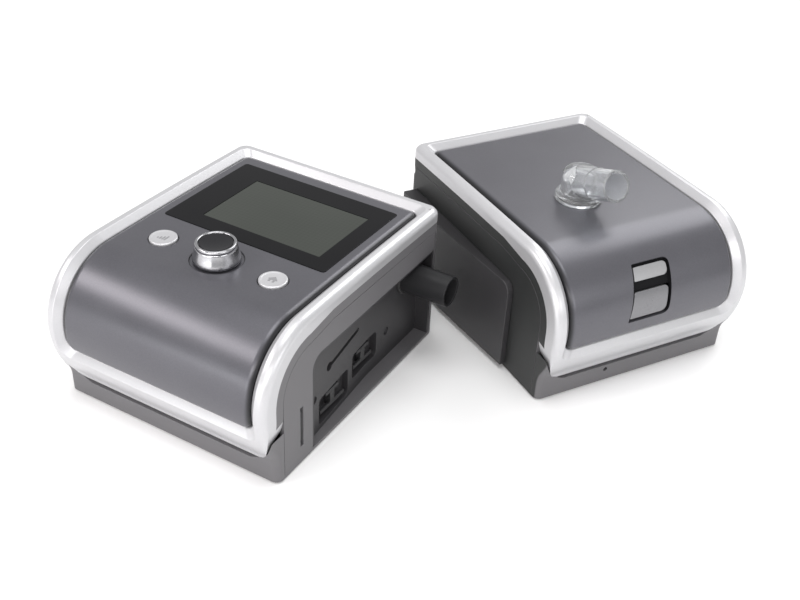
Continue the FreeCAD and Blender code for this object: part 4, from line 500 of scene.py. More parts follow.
FINISHES = (
    # the lid's fascia gets painted shade on its rolled edges too
    FASCIA_GREY, replace(FASCIA_GREY, name="lid_grey", shaded_edge_axis=LID_AXIS),
    # the same case grey with painted shade on sides that face the device, the shadow between the units
    CASE_GREY, replace(CASE_GREY, name="side_shaded_grey", shaded_side_axis=(-LID_AXIS[0], -LID_AXIS[1], 0.0)),
    # a darker copy of the latch silver: painted shade for the lower plate, which faces forward rather than up
    SILVER_LATCH, replace(SILVER_LATCH, name="latch_silver_shaded", colour=(0.26, 0.26, 0.27), shade=(0.19, 0.19, 0.2)),
    Finish("silver_trim", (0.6, 0.6, 0.61), (0.5, 0.5, 0.52), metallic=0.45, rough=0.35, flakes=0.2, coat=0.25,
           coat_rough=0.25, grain_bump=0.03),
    Finish("latch_black", (0.01, 0.01, 0.011), (0.006, 0.006, 0.007), rough=0.6, specular=0.1),
    Finish("tube_charcoal", (0.024, 0.024, 0.026), (0.015, 0.015, 0.016), rough=0.42, specular=0.25, grain_bump=0.08),
    Finish("sign_grey", (0.3, 0.3, 0.31), (0.22, 0.22, 0.23), rough=0.45, grain_bump=0.08),
    Finish("dock_charcoal", (0.04, 0.039, 0.042), (0.025, 0.024, 0.026), rough=0.46, grain=1400.0, grain_bump=0.18),
    Finish("knob_chrome", (0.5, 0.5, 0.51), (0.4, 0.4, 0.42), metallic=1.0, rough=0.18, rough_span=0.05,
           grain_bump=0.01),
    Finish("knob_dark", (0.03, 0.03, 0.032), (0.018, 0.018, 0.02), rough=0.24, specular=0.1, grain_bump=0.02),
    Finish("button_silver", (0.62, 0.62, 0.63), (0.52, 0.52, 0.54), metallic=0.5, rough=0.34, flakes=0.2, coat=0.3,
           grain_bump=0.03),
    Finish("lens_black", (0.012, 0.012, 0.013), (0.007, 0.007, 0.008), rough=0.12, rough_span=0.03, specular=0.1,
           grain_bump=0.005),
    Finish("board_green", (0.05, 0.22, 0.1), (0.02, 0.12, 0.05), grain=600.0, grain_bump=0.1),
    Finish("inner_black", (0.03, 0.03, 0.032), (0.018, 0.018, 0.019), rough=0.5, grain=1200.0, grain_bump=0.15),
    Finish("white_plastic", (0.78, 0.78, 0.75), (0.68, 0.68, 0.65), rough=0.45, grain_bump=0.08),
    Finish("rubber_dark", (0.035, 0.035, 0.035), (0.02, 0.02, 0.02), rough=0.75, grain=1600.0, grain_bump=0.3),
    Finish("foam_grey", (0.2, 0.2, 0.2), (0.08, 0.08, 0.08), rough=0.9, grain=500.0, grain_bump=0.9),
    Finish("filter_white", (0.85, 0.85, 0.82), (0.66, 0.66, 0.63), rough=0.9, grain_bump=0.7),
    Finish("steel", (0.62, 0.62, 0.62), (0.45, 0.45, 0.46), metallic=1.0, rough=0.32, grain_bump=0.06),
    Finish("aluminium", (0.78, 0.78, 0.79), (0.62, 0.62, 0.64), metallic=1.0, rough=0.3, grain_bump=0.06),
    Finish("clear_plastic", (0.93, 0.94, 0.95), (0.86, 0.88, 0.9), rough=0.07, rough_span=0.03, grain_bump=0.01,
           ior=1.46, clear=0.89),
)
MATERIALS: dict[str, bpy.types.Material] = {}


def paint(obj: Piece, slot: str) -> None:
    """Give a piece one finish over its whole surface."""
    obj.data.materials.clear()
    obj.data.materials.append(MATERIALS[slot])


def place(obj: Piece, unit: Optional[Unit], body: str, slot: str, *nodes: str) -> None:
    """Put a piece on the table, shade and paint it, parent it to its body and hide the solids it replaces.

    Args:
        obj: the finished piece.
        unit: the unit in whose millimetres it was modelled; none if it is on the table already.
        body: the body it rides on.
        slot: its finish.
        nodes: the solids it replaces.
    """
    if unit:
        obj.matrix_world = unit.matrix()
        settle(obj)
    activate(obj)
    bpy.ops.object.shade_smooth_by_angle(angle=math.radians(SMOOTH_LIMIT))
    modify(obj, "WEIGHTED_NORMAL", keep_sharp=True)
    paint(obj, slot)
    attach(obj, body)
    if nodes:
        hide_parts(*nodes)
    LOG.info("%s: %d faces", obj.name, len(obj.data.polygons))


def dress_copy(node: str, body: str, slot: str, width: float, segments: int) -> None:
    """Copy a solid, merge it, round its edges and let it replace the solid.

    Args:
        node: the solid's name.
        body: the body the copy rides on.
        slot: its finish.
        width: rounding of its edges, in millimetres.
        segments: steps of the rounding.
    """
    obj = copy_of(frame["nodes"][node], node + "_part")
    obj.parent = None
    obj.matrix_world = Matrix.Identity(4)
    with editing(obj):
        bpy.ops.mesh.remove_doubles(threshold=0.00001)
        bpy.ops.mesh.dissolve_limited(angle_limit=math.radians(0.6))
    soften(obj, width * MM, segments, SMOOTH_LIMIT)
    place(obj, None, body, slot, node)


# --- bent pieces
@dataclass
class Bend:
    """Turns flat pieces into curved ones along the case's side profile.

    In the flat state X runs along the profile from the front's foot to the rear, Y is the height
    above the surface and Z is the unit's width.
    """

    nose_slice: float = 1.6
    top_slice: float = 12.0

    def points(self) -> list[Pair]:
        """Profile points (y, z) from the front's foot to beyond the rear."""
        chin = math.degrees(CHIN_ANGLE)
        end = math.degrees(math.acos((CASE_DEPTH + 12.0 - NOSE_RADIUS) / CROWN_RADIUS))
        return (arc((SKIRT_SETBACK - CHIN_BLEND, BLEND_Z), CHIN_BLEND, 0.0, chin, 14)
                + arc((CHIN_RADIUS, NOSE_Z), CHIN_RADIUS, 180.0 + chin, 180.0, 40)[1:]
                + arc((NOSE_RADIUS, NOSE_Z), NOSE_RADIUS, 180.0, 90.0, 90)[1:]
                + arc(CROWN, CROWN_RADIUS, 90.0, end, 120)[1:])

    def at_front(self, z: float) -> float:
        """Profile length at a height on the chin or on the blend under it."""
        if z < NOSE_Z - CHIN_RADIUS * math.sin(CHIN_ANGLE):
            return math.asin((z - BLEND_Z) / CHIN_BLEND) * CHIN_BLEND
        return CHIN_LENGTH - math.asin((NOSE_Z - z) / CHIN_RADIUS) * CHIN_RADIUS

    def on_nose(self, z: float) -> float:
        """Profile length at a height on the nose."""
        return CHIN_LENGTH + math.asin((z - NOSE_Z) / NOSE_RADIUS) * NOSE_RADIUS

    def at_top(self, y: float) -> float:
        """Profile length at a depth on the crowned top."""
        return NOSE_LENGTH + math.asin((y - NOSE_RADIUS) / CROWN_RADIUS) * CROWN_RADIUS

    def apply(self, obj: Piece, start: float, end: float) -> None:
        """Slice a flat piece between two lengths and bend it.

        Args:
            obj: the flat piece.
            start: first profile length it covers.
            end: last profile length it covers.
        """
        along = start + self.nose_slice
        with editing(obj):
            while along < end - 1.0:
                bpy.ops.mesh.select_all(action="SELECT")
                bpy.ops.mesh.bisect(plane_co=(along, 0.0, 0.0), plane_no=(1.0, 0.0, 0.0))
                along += self.nose_slice if along < NOSE_LENGTH + 2.0 else self.top_slice
        path = poly_curve("profile", self.points(), False)
        modify(obj, "CURVE", object=path, deform_axis="POS_X")
        bpy.data.objects.remove(path, do_unlink=True)
        obj.matrix_world = Matrix(((0, 0, 1, 0), (1, 0, 0, 0), (0, 1, 0, 0), (0, 0, 0, 1)))
        settle(obj)


BEND = Bend()


def seam_outline(gap: float = 0.0) -> list[Pair]:
    """Side outline (y, z) of everything behind and below the frame's flanks."""
    inset = FRONT_DEPTH + gap
    radius = CROWN_RADIUS - FLANK_HEIGHT - gap
    rear = CASE_DEPTH + 8.0
    start, end = [math.degrees(math.acos(reach / radius)) for reach in (SHOULDER_RUN, rear - NOSE_RADIUS)]
    return ([(inset, -5.0)] + arc((NOSE_RADIUS, NOSE_Z), NOSE_RADIUS - inset, 180.0, 90.0, 24)
            + arc(CROWN, radius, start, end, 16) + [(rear, -5.0)])


def upright_edge(a: Vector, b: Vector) -> bool:
    """True for edges along the height of a flat piece."""
    return abs(a.y - b.y) > 0.5 and abs(a.x - b.x) < NEAR and abs(a.z - b.z) < NEAR


def top_edge(level: float) -> EdgeTest:
    """Test for the edges of a flat piece's top face."""
    return lambda a, b: abs(a.y - level) < NEAR and abs(b.y - level) < NEAR


def flat_slab(name: str, bounds: tuple[Pair, Pair], top: float, thick: float, play: float = 0.0) -> Piece:
    """Flat slab for the crowned top, in a frame of two depths and two sides that is widened by a play."""
    (front, rear), (left, right) = bounds
    low = (BEND.at_top(front - play), top - thick, left - play)
    return box(name, low, (BEND.at_top(rear + play), top, right + play))


@dataclass
class Shell:
    """Silver frame and curved fascia of one unit."""

    unit: Unit
    width: float
    body: str
    lip_slot: str

    def silver_ring(self) -> None:
        """Model the rounded silver frame: a flat ring, bent and cut at its seam."""
        half = 0.5 * self.width
        inner = half - RIM_WIDTH
        foot, sill, rear = BEND.at_front(RIM_FOOT), BEND.at_front(RIM_SILL), BEND.at_top(CASE_DEPTH)
        ring = box(self.body + "_frame_trim", (foot, -24.0, -half), (rear, 0.0, half))
        bevel_where(ring, lambda a, b: min(a.x, b.x) > rear - NEAR and abs(a.y - b.y) > 1.0, REAR_CORNER, 12)
        end = rear - RIM_WIDTH
        for name, depth in (("opening", 30.0), ("slope", RIM_SLOPE)):
            tool = box(name, (sill, -depth, -inner), (end, TOOL_OVER, inner))
            self.round_corners(tool, sill, end)
            if name == "slope":
                self.flare_top(tool, sill, end, inner)
            cut(ring, tool)

        def on_outline(point: Vector) -> bool:
            """True for points on the ring's outer outline, its front end left out."""
            across = abs(point.z) - (half - REAR_CORNER)
            along = point.x - (rear - REAR_CORNER)
            if across > 0.0 and along > 0.0:
                return math.hypot(across, along) > REAR_CORNER - 0.05
            return abs(point.z) > half - NEAR or point.x > rear - NEAR

        def crest(a: Vector, b: Vector) -> bool:
            """True for the rim of the opening at the surface."""
            level = min(a.y, b.y) > -0.02
            return level and not on_outline(a) and not on_outline(b) and min(a.x, b.x) > foot + 1.0

        def outer_edge(a: Vector, b: Vector) -> bool:
            """True for the outer edges of the top face."""
            return min(a.y, b.y) > -NEAR and on_outline(a) and on_outline(b)

        def heel(a: Vector, b: Vector) -> bool:
            """True for the foot of the slope, where the inner wall starts."""
            deep = abs(a.y + RIM_SLOPE) < 0.02 and abs(b.y + RIM_SLOPE) < 0.02
            return deep and max(abs(a.z), abs(b.z)) < inner + 0.05

        bevel_where(ring, crest, 1.3, 6)
        bevel_where(ring, outer_edge, EDGE_ROUND, 8, clamp=False)
        bevel_where(ring, heel, 0.8, 3)
        wall = half - RIM_WALL
        cut(ring, box("hollow", (foot - TOOL_OUT, -40.0, -wall), (rear - RIM_WALL, -RIM_DEPTH, wall)))
        for sign in (-1.0, 1.0):
            cut(ring, self.corner_tool(sign, half, foot))
        BEND.apply(ring, foot, rear)
        cut(ring, outline_prism("seam", seam_outline(), -half - TOOL_OUT, half + TOOL_OUT, "X"))
        clean(ring)
        soften(ring, 0.5, 2, 50.0)
        self.dark_lip(ring, half)
        place(ring, self.unit, self.body, "silver_trim", self.body + "_frame")

    def dark_lip(self, ring: Piece, half: float) -> None:
        """Inlay the covers' dark upper lip in the lower part of the frame's flanks."""
        shell = outline_prism("lip_shell", seam_outline(-LIP_RISE), -half - TOOL_OUT, half + TOOL_OUT, "X")
        side, rear, corner = half - LIP_DEPTH, CASE_DEPTH - LIP_DEPTH, REAR_CORNER - LIP_DEPTH
        core = box("lip_core", (-side, -60.0, -20.0), (side, rear, 160.0))
        bevel_where(core, lambda a, b: min(a.y, b.y) > rear - NEAR and abs(a.z - b.z) > 1.0, corner, 12)
        cut(shell, core)
        lip = copy_of(ring, self.body + "_frame_lip")
        cut(lip, copy_of(shell, "lip_tool"), "INTERSECT")
        cut(ring, shell)
        place(lip, self.unit, self.body, self.lip_slot)

    def corner_tool(self, sign: float, half: float, foot: float) -> Piece:
        """Flat tool that rounds one lower corner of the ring's front member."""
        points = []
        for rise, run in arc((0.0, 0.0), 1.0, 0.0, 90.0, 16):
            height = RIM_FOOT + FOOT_CORNER_HEIGHT * (1.0 - rise)
            points.append((BEND.at_front(height), sign * (half - FOOT_CORNER_WIDTH * (1.0 - run))))
        out = sign * (half + 6.0)
        points += [(points[-1][0], out), (foot - 6.0, out), (foot - 6.0, points[0][1])]
        return outline_prism("corner", points, -40.0, 6.0, "Y")

    def round_corners(self, tool: Piece, front: float, rear: float) -> None:
        """Round a flat piece's two front corners and its two rear corners."""
        for end, radius, steps in ((front, RIM_CORNER, 10), (rear, RIM_REAR_CORNER, 8)):
            bevel_where(tool, lambda a, b: upright_edge(a, b) and abs(a.x - end) < NEAR, radius, steps)

    def flare_top(self, tool: Piece, front: float, rear: float, inner: float) -> None:
        """Spread the top face of the slope's tool so that its sides lean at 45 degrees."""
        flare = RIM_SLOPE + TOOL_OVER
        with editing(tool, "DESELECT"):
            choose(tool, "FACE", lambda *corners: min(corner.y for corner in corners) > TOOL_OVER - NEAR)
            ratios = (1.0 + 2.0 * flare / (rear - front), 1.0, 1.0 + flare / inner)
            bpy.ops.transform.resize(value=ratios, center_override=(0.5 * (front + rear), TOOL_OVER, 0.0))

    def fascia_span(self) -> Pair:
        """Profile lengths at which the fascia starts and ends."""
        return BEND.at_front(RIM_SILL) + FIT, BEND.at_top(CASE_DEPTH) - RIM_WIDTH - FIT

    def fascia_blank(self) -> Piece:
        """Model the flat fascia with rolled edges, before its holes and its bend."""
        half = 0.5 * self.width - RIM_WIDTH - FIT
        sill, rear = self.fascia_span()
        shell = box(self.body + "_fascia_shell", (sill, -FASCIA_SINK - FASCIA_SKIRT, -half), (rear, -FASCIA_SINK, half))
        self.round_corners(shell, sill, rear)
        side, end = half - FASCIA_SKIN, rear - FASCIA_SKIN
        cut(shell, box("hollow", (sill + FASCIA_SKIN, -40.0, -side), (end, -FASCIA_SINK - FASCIA_SKIN, side)))
        bevel_where(shell, top_edge(-FASCIA_SINK), FASCIA_ROLL - 1.2, 8)
        return shell


# --- flow generator
@dataclass
class Controls(Shell):
    """Flow generator's fascia with its screen, knob and two buttons."""

    # two depths and two sides each
    lens: tuple[Pair, Pair] = ((93.5, 183.5), (-63.75, 63.75))
    display: tuple[Pair, Pair] = ((107.0, 166.0), (-41.4, 51.0))
    lens_play: float = 0.15
    lens_proud: float = 0.4
    lens_thick: float = 1.8
    display_sink: float = 0.25
    knob_base: float = 15.4
    knob_top: float = 13.2
    knob_height: float = 13.0
    button_pitch: float = 43.0
    button_radius: float = 9.2
    sign_height: float = 0.14

    def fascia(self) -> None:
        """Cut the screen's seat, the knob's moat and the button wells into the fascia."""
        z, play, radius = FASCIA_Z, self.lens_play, self.button_radius
        shell = self.fascia_blank()
        floor = -FASCIA_SINK + self.lens_proud - self.lens_thick
        seat = flat_slab("seat", self.lens, TOOL_OUT, TOOL_OUT - floor, play)
        bevel_where(seat, upright_edge, 2.6, 6)
        cut(shell, seat)
        cut(shell, flat_slab("window", self.display, TOOL_OUT, 14.0, 2.0 * play))
        BEND.apply(shell, *self.fascia_span())
        for x in (-self.button_pitch, self.button_pitch):
            cut(shell, turned("cup", beside(radius, z, (2.0, -4.4), (2.0, -2.0)), x, CONTROL_ROW, 64), "UNION")
            well = beside(radius, z, (0.3, -3.2), (0.3, -0.5), (0.9, 0.1), (0.9, 3.0))
            cut(shell, turned("well", well, x, CONTROL_ROW))
        moat = beside(self.knob_base, z, (1.6, -1.0), (1.6, -0.5), (2.3, 0.15), (2.3, 3.0))
        cut(shell, turned("moat", moat, 0.0, CONTROL_ROW))
        cut(shell, turned("shaft_hole", beside(4.6, z, (0.0, -8.0), (0.0, 3.0)), 0.0, CONTROL_ROW, 48))
        place(shell, self.unit, self.body, "fascia_grey", "device_fascia")

    def screen(self) -> None:
        """Model the black surround and the unlit display."""
        top = -FASCIA_SINK + self.lens_proud
        lens = flat_slab("screen_surround", self.lens, top, self.lens_thick)
        bevel_where(lens, upright_edge, 2.5, 6)
        bevel_where(lens, top_edge(top), 0.35, 2)
        cut(lens, flat_slab("window", self.display, TOOL_OUT, 12.0, 0.1))
        BEND.apply(lens, *map(BEND.at_top, self.lens[0]))
        place(lens, self.unit, self.body, "lens_black", "screen_lens")
        panel = flat_slab("display_face", self.display, top - self.display_sink, 6.6)
        bevel_where(panel, top_edge(top - self.display_sink), 0.15, 1)
        BEND.apply(panel, *map(BEND.at_top, self.display[0]))
        place(panel, self.unit, self.body, "display", "display_panel")

    def knob(self) -> None:
        """Turn the flared knob and its dished cap."""
        z = FASCIA_Z
        flank = beside(
            self.knob_base, z, (-1.6, -0.1), (-0.5, 0.25), (-0.1, 0.8), (0.0, 1.5), (-0.1, 2.4), (-0.35, 3.4),
            (-0.7, 4.6), (-1.05, 5.8), (-1.4, 7.0), (-1.7, 8.2), (-1.95, 9.2), (-2.1, 9.9))
        rim = beside(
            self.knob_top, z, (-0.15, 10.3), (-0.1, 10.7), (0.0, 11.0), (0.05, 11.6), (-0.1, 12.3), (-0.45, 12.8),
            (-0.95, self.knob_height), (-1.5, 12.95), (-1.95, 12.7), (-2.2, 12.2), (-2.25, 11.2))
        knob = turned("knob_ring", [(5.6, z - 0.1)] + flank + rim, 0.0, CONTROL_ROW, 128)
        hollow = beside(0.0, z, (6.4, -3.0), (6.4, 0.9), (10.4, 1.0), (10.4, 6.0))
        cut(knob, turned("hollow", hollow, 0.0, CONTROL_ROW, 64))
        place(knob, self.unit, "knob", "knob_chrome", "knob")
        foot = z + self.knob_height - 2.0
        dish = beside(0.0, foot, (10.7, 0.02), (10.7, 1.35), (10.45, 1.6), (10.0, 1.62), (9.6, 1.45))
        dish += [(radius, foot + 0.62 + 0.83 * (radius / 9.6) ** 2) for radius in (8.0, 6.0, 4.0, 2.0, 0.4)]
        place(turned("knob_dish", dish, 0.0, CONTROL_ROW), self.unit, "knob", "knob_dark", "knob_cap")

    def buttons(self) -> None:
        """Turn the two round buttons and set a small generic sign on each."""
        z, radius = FASCIA_Z, self.button_radius
        outline = beside(radius, z, (0.0, -2.0), (0.0, 0.5), (-0.12, 0.95), (-0.45, 1.25), (-0.9, 1.38), (-1.5, 1.38),
                         (-1.9, 1.2), (-2.4, 1.1), (-5.0, 1.02), (0.5 - radius, 1.0))
        for x, body, solid in ((-self.button_pitch, "ramp", self.wedge), (self.button_pitch, "home", self.house)):
            node = body + "_button"
            button = turned(node + "_cap", outline, x, CONTROL_ROW)
            cut(button, turned("stem", beside(2.2, z, (0.0, -6.0), (0.0, -1.0)), x, CONTROL_ROW, 32), "UNION")
            place(button, self.unit, body, "button_silver", node)
            place(solid(node + "_sign", x, z + 0.98), self.unit, body, "sign_grey")

    def house(self, name: str, x: float, z: float) -> Piece:
        """Raised sign of a little house, centred at x on the surface at height z."""
        outer = beside(x, CONTROL_ROW, (-3.4, -0.2), (0.0, 3.0), (3.4, -0.2), (2.6, -0.9), (2.2, -0.5), (2.2, -3.0),
                       (-2.2, -3.0), (-2.2, -0.5), (-2.6, -0.9))
        sign = outline_prism(name, outer, z, z + self.sign_height, "Z")
        door = beside(x, CONTROL_ROW, (-0.8, -3.4), (0.8, -3.4), (0.8, -0.9), (-0.8, -0.9))
        cut(sign, outline_prism("door", door, z - 1.0, z + 1.0, "Z"))
        return sign

    def wedge(self, name: str, x: float, z: float) -> Piece:
        """Raised sign of four rising bars, centred at x on the surface at height z."""
        foot = CONTROL_ROW - 2.6
        bars = []
        for index in range(4):
            left, tall = x - 3.4 + 1.8 * index, 1.4 + 1.3 * index
            bars.append(box(name, (left, foot, z), (left + 1.1, foot + tall, z + self.sign_height)))
        activate(bars[0])
        for bar in bars[1:]:
            bar.select_set(True)
        bpy.ops.object.join()
        return bars[0]

    def build(self) -> None:
        """Make all pieces of the upper side."""
        for step in (self.silver_ring, self.fascia, self.screen, self.knob, self.buttons):
            step()


@dataclass
class DeviceCase:
    """Covers, docking wall and air outlet of the flow generator."""

    port_y: float = 180.0
    port_z: float = 58.8
    port_radius: float = 11.0
    port_neck: float = 10.6
    port_bore: float = 9.0
    port_flange: float = 15.0
    stub: float = 9.6
    stub_start: float = 60.6
    flange_start: float = 69.6
    panel_back: float = 72.0
    seal_start: float = 74.0
    seal_end: float = 76.0
    tube_end: float = 110.0
    covers: tuple[tuple, ...] = (
        ("device_base", "device", "case_grey", 0.6, 3),
        ("right_side_cover", "device", "case_grey", 0.5, 2),
        ("left_side_cover", "device", "case_grey", 0.5, 2),
        ("dock_panel", "device", "dock_charcoal", 0.6, 2),
        ("dock_catches", "device", "inner_black", 0.4, 2),
        ("filter_door", "filter_cover", "case_grey", 0.3, 2),
        ("device_feet", "device", "rubber_dark", 0.3, 2),
    )

    def outlet(self) -> None:
        """Turn the outlet tube with its flange, and the seal round it, and lay both along X."""
        bore, radius, neck, flange = self.port_bore, self.port_radius, self.port_neck, self.port_flange
        section = [
            (bore, self.stub_start), (self.stub, self.stub_start), (self.stub, self.flange_start),
            (flange, self.flange_start), (flange, self.panel_back), (neck, self.panel_back),
            (neck, self.seal_end), (radius, self.seal_end),
            *beside(radius, self.tube_end, (0.0, -0.6), (-0.2, -0.2), (-0.6, 0.0)),
            *beside(bore, self.tube_end, (0.6, 0.0), (0.2, -0.2), (0.0, -0.6)), (bore, self.stub_start),
        ]
        start, end, rim = self.seal_start, self.seal_end, radius + 1.6
        seal = [
            *beside(neck, start, (0.0, 0.4), (0.4, 0.0)), *beside(rim, start, (-0.4, 0.0), (0.0, 0.4)),
            *beside(rim, end, (0.0, -0.4), (-0.4, 0.0)), *beside(neck, end, (0.4, 0.0), (0.0, -0.4)),
            (neck, start + 0.4),
        ]
        axis = Matrix.Translation((0.0, self.port_y, self.port_z)) @ Matrix.Rotation(math.radians(90.0), 4, "Y")
        for name, profile, slot, node in (("outlet_tube", section, "tube_charcoal", "air_outlet"),
                                          ("outlet_seal_ring", seal, "rubber_dark", "outlet_seal")):
            piece = turned(name, profile, hollow=True)
            piece.matrix_world = axis
            place(settle(piece), Unit.DEVICE, "device", slot, node)

    def build(self) -> None:
        """Make the outlet and dress the plain covers."""
        self.outlet()
        for cover in self.covers:
            dress_copy(*cover)


# --- humidifier
@dataclass
class Lid(Shell):
    """Humidifier's lid: frame, fascia, latch and swivelling elbow."""

    outlet_x: float = -10.0
    outlet_y: float = 89.0
    elbow_radius: float = 11.0
    elbow_bore: float = 9.0
    elbow_rise: float = 13.0
    elbow_reach: float = 41.5
    elbow_tilt: float = 22.0
    elbow_foot: float = 84.9
    elbow_flange: float = 16.5
    elbow_body: float = 13.0
    elbow_height: float = 24.0
    crown_soft: float = 6.0
    latch_half: float = 15.0
    left_flare: float = -6.0
    right_flare: float = -2.5
    latch_top: float = 94.0
    latch_foot: float = 55.5
    gap_top: float = 84.2
    gap_foot: float = 77.8
    latch_sink: float = 1.2
    latch_margin: float = 1.7

    def latch_tool(self, name: str, span: Pair, margin: float, high: float, thick: float, corner: float) -> Piece:
        """Model a flat slanting slab in the latch's outline.

        Args:
            name: object name.
            span: its lower and upper end, as heights on the nose.
            margin: how far the two sides stay inside the window.
            high: level of its outer face.
            thick: its thickness.
            corner: rounding of the two corners on the right.

        Returns:
            The slab.
        """
        foot, top = span
        points = []
        for height, left_first in ((foot, True), (top, False)):
            share = (self.latch_top - height) / (self.latch_top - self.latch_foot)
            sides = [margin - self.latch_half + self.left_flare * share,
                     self.latch_half + self.right_flare * share - margin]
            points += [(BEND.on_nose(height), side) for side in (sides if left_first else reversed(sides))]
        slab = outline_prism(name, points, high - thick, high, "Y")
        bevel_where(slab, lambda a, b: upright_edge(a, b) and a.z > 0.0, corner, 7)
        bevel_where(slab, lambda a, b: upright_edge(a, b) and a.z < 0.0, 0.9, 3)
        return slab

    def fascia(self) -> None:
        """Cut the latch's window and the outlet's hole into the lid's fascia."""
        shell = self.fascia_blank()
        cut(shell, self.latch_tool("window", (self.latch_foot, self.latch_top), 0.0, 5.0, 25.0, 5.0))
        BEND.apply(shell, *self.fascia_span())
        z, radius = top_height(self.outlet_y, FASCIA_SINK), self.elbow_radius
        hole = beside(radius, z, (0.3, -9.0), (0.3, -0.8), (1.0, 0.2), (1.0, 5.0))
        cut(shell, turned("hole", hole, self.outlet_x, self.outlet_y))
        place(shell, self.unit, self.body, "lid_grey", "lid_fascia")

    def latch(self) -> None:
        """Model the latch's dark pocket, its fixed silver plate and the moving one."""
        seat = -FASCIA_SINK - FASCIA_SKIN
        span = (self.latch_foot - 3.0, self.latch_top + 3.0)
        pocket = self.latch_tool("latch_pocket", span, -3.0, seat, 2.5, 6.0)
        cut(pocket, self.latch_tool("opening", (self.latch_foot, self.gap_foot), 0.0, 5.0, 25.0, 1.0))
        BEND.apply(pocket, *map(BEND.on_nose, span))
        place(pocket, self.unit, self.body, "latch_black", "latch_housing")
        high, margin = -FASCIA_SINK - self.latch_sink, self.latch_margin
        # the moving lower plate takes the darker copy of the latch silver: painted shade, as it faces forward where the
        # upper plate faces up
        for name, span, thick, body, node, slot in (
                ("latch_upper", (self.gap_top, self.latch_top - margin), 1.8, self.body, "latch_plate", "latch_silver"),
                ("latch_lower", (self.latch_foot + margin, self.gap_foot - 0.4), 2.0, "latch", "latch_button",
                 "latch_silver_shaded")):
            plate = self.latch_tool(name, span, margin, high, thick, 3.6)
            bevel_where(plate, top_edge(high), 0.5, 3)
            BEND.apply(plate, *map(BEND.on_nose, span))
            place(plate, self.unit, body, slot, node)

    def rising(self, name: str, section: Sequence[Pair]) -> Piece:
        """Turned piece along the elbow's rising outlet.

        Args:
            name: object name.
            section: (radius, distance from the upright axis) pairs.

        Returns:
            The closed piece in the humidifier's frame.
        """
        tilt = math.radians(self.elbow_tilt)
        aim = Vector((0.0, -math.cos(tilt), math.sin(tilt)))
        height = top_height(self.outlet_y, FASCIA_SINK) + self.elbow_rise
        hub = Matrix.Translation((self.outlet_x, self.outlet_y, height))
        obj = turned(name, section)
        obj.matrix_world = hub @ aim.to_track_quat("Z", "Y").to_matrix().to_4x4()
        return settle(obj)

    def elbow(self) -> None:
        """Model the clear elbow: foot, stepped flange, domed upright and rising outlet with its bore."""
        z, foot, reach = top_height(self.outlet_y, FASCIA_SINK), self.elbow_foot, self.elbow_reach
        radius, bore, body, flange = self.elbow_radius, self.elbow_bore, self.elbow_body, self.elbow_flange
        top, soft = z + self.elbow_height, self.crown_soft
        outline = [
            *beside(radius, foot, (-0.6, 0.0), (0.0, 0.6)), (radius, z + 0.3),
            *beside(flange, z, (-0.4, 0.3), (0.0, 0.7), (0.0, 3.4), (-0.25, 4.1), (-0.8, 4.7), (-1.6, 5.0)),
            *beside(body, z, (0.9, 5.0), (0.4, 5.3), (0.4, 7.0), (0.0, 7.4)),
            *arc((body - soft, top - soft), soft, 0.0, 90.0, 8), (2.0, top), (0.4, top),
        ]
        outer = turned("elbow_clear", outline, self.outlet_x, self.outlet_y)
        outlet = [
            *beside(radius, 0.0, (-1.0, -2.0), (0.6, 0.0), (0.6, 19.9), (0.3, 20.5), (0.0, 20.6)),
            *beside(radius, reach, (0.0, -0.9), (-0.2, -0.3), (-0.7, 0.0)), (bore - 2.0, reach),
        ]
        cut(outer, self.rising("outlet", outlet), "UNION")
        dome = arc((0.0, z + self.elbow_rise), bore, 0.0, 80.0, 8)
        cut(outer, turned("bore", [(bore, foot - 3.0)] + dome, self.outlet_x, self.outlet_y))
        inner = bore - 0.05
        back = arc((0.0, 0.0), inner, -80.0, 0.0, 8)
        mouth = beside(inner, reach, (0.0, -0.6), (0.6, 0.1), (0.6, 3.0))
        cut(outer, self.rising("outlet_bore", back + mouth))
        clean(outer)
        place(outer, self.unit, "elbow", "clear_plastic", "outlet_elbow")

    def build(self) -> None:
        """Make all pieces of the lid."""
        for step in (self.silver_ring, self.fascia, self.latch, self.elbow):
            step()


@dataclass
class HumidifierCase:
    """Housing, docking block and water chamber of the humidifier."""

    solids: tuple[tuple, ...] = (
        # the base's side that faces the device gets painted shade, the shadow between the units
        ("humidifier_base", "humidifier", "side_shaded_grey", 0.6, 3),
        ("dock_block", "humidifier", "dock_charcoal", 1.0, 3),
        ("inlet_socket", "humidifier", "dock_charcoal", 0.4, 2),
        ("humidifier_feet", "humidifier", "rubber_dark", 0.3, 2),
        ("water_tub", "humidifier", "clear_plastic", 0.6, 3),
        ("tub_lid", "humidifier", "clear_plastic", 0.6, 3),
        ("lid_liner", "lid", "inner_black", 0.5, 2),
    )

    def build(self) -> None:
        """Dress the plain solids."""
        for solid in self.solids:
            dress_copy(*solid)


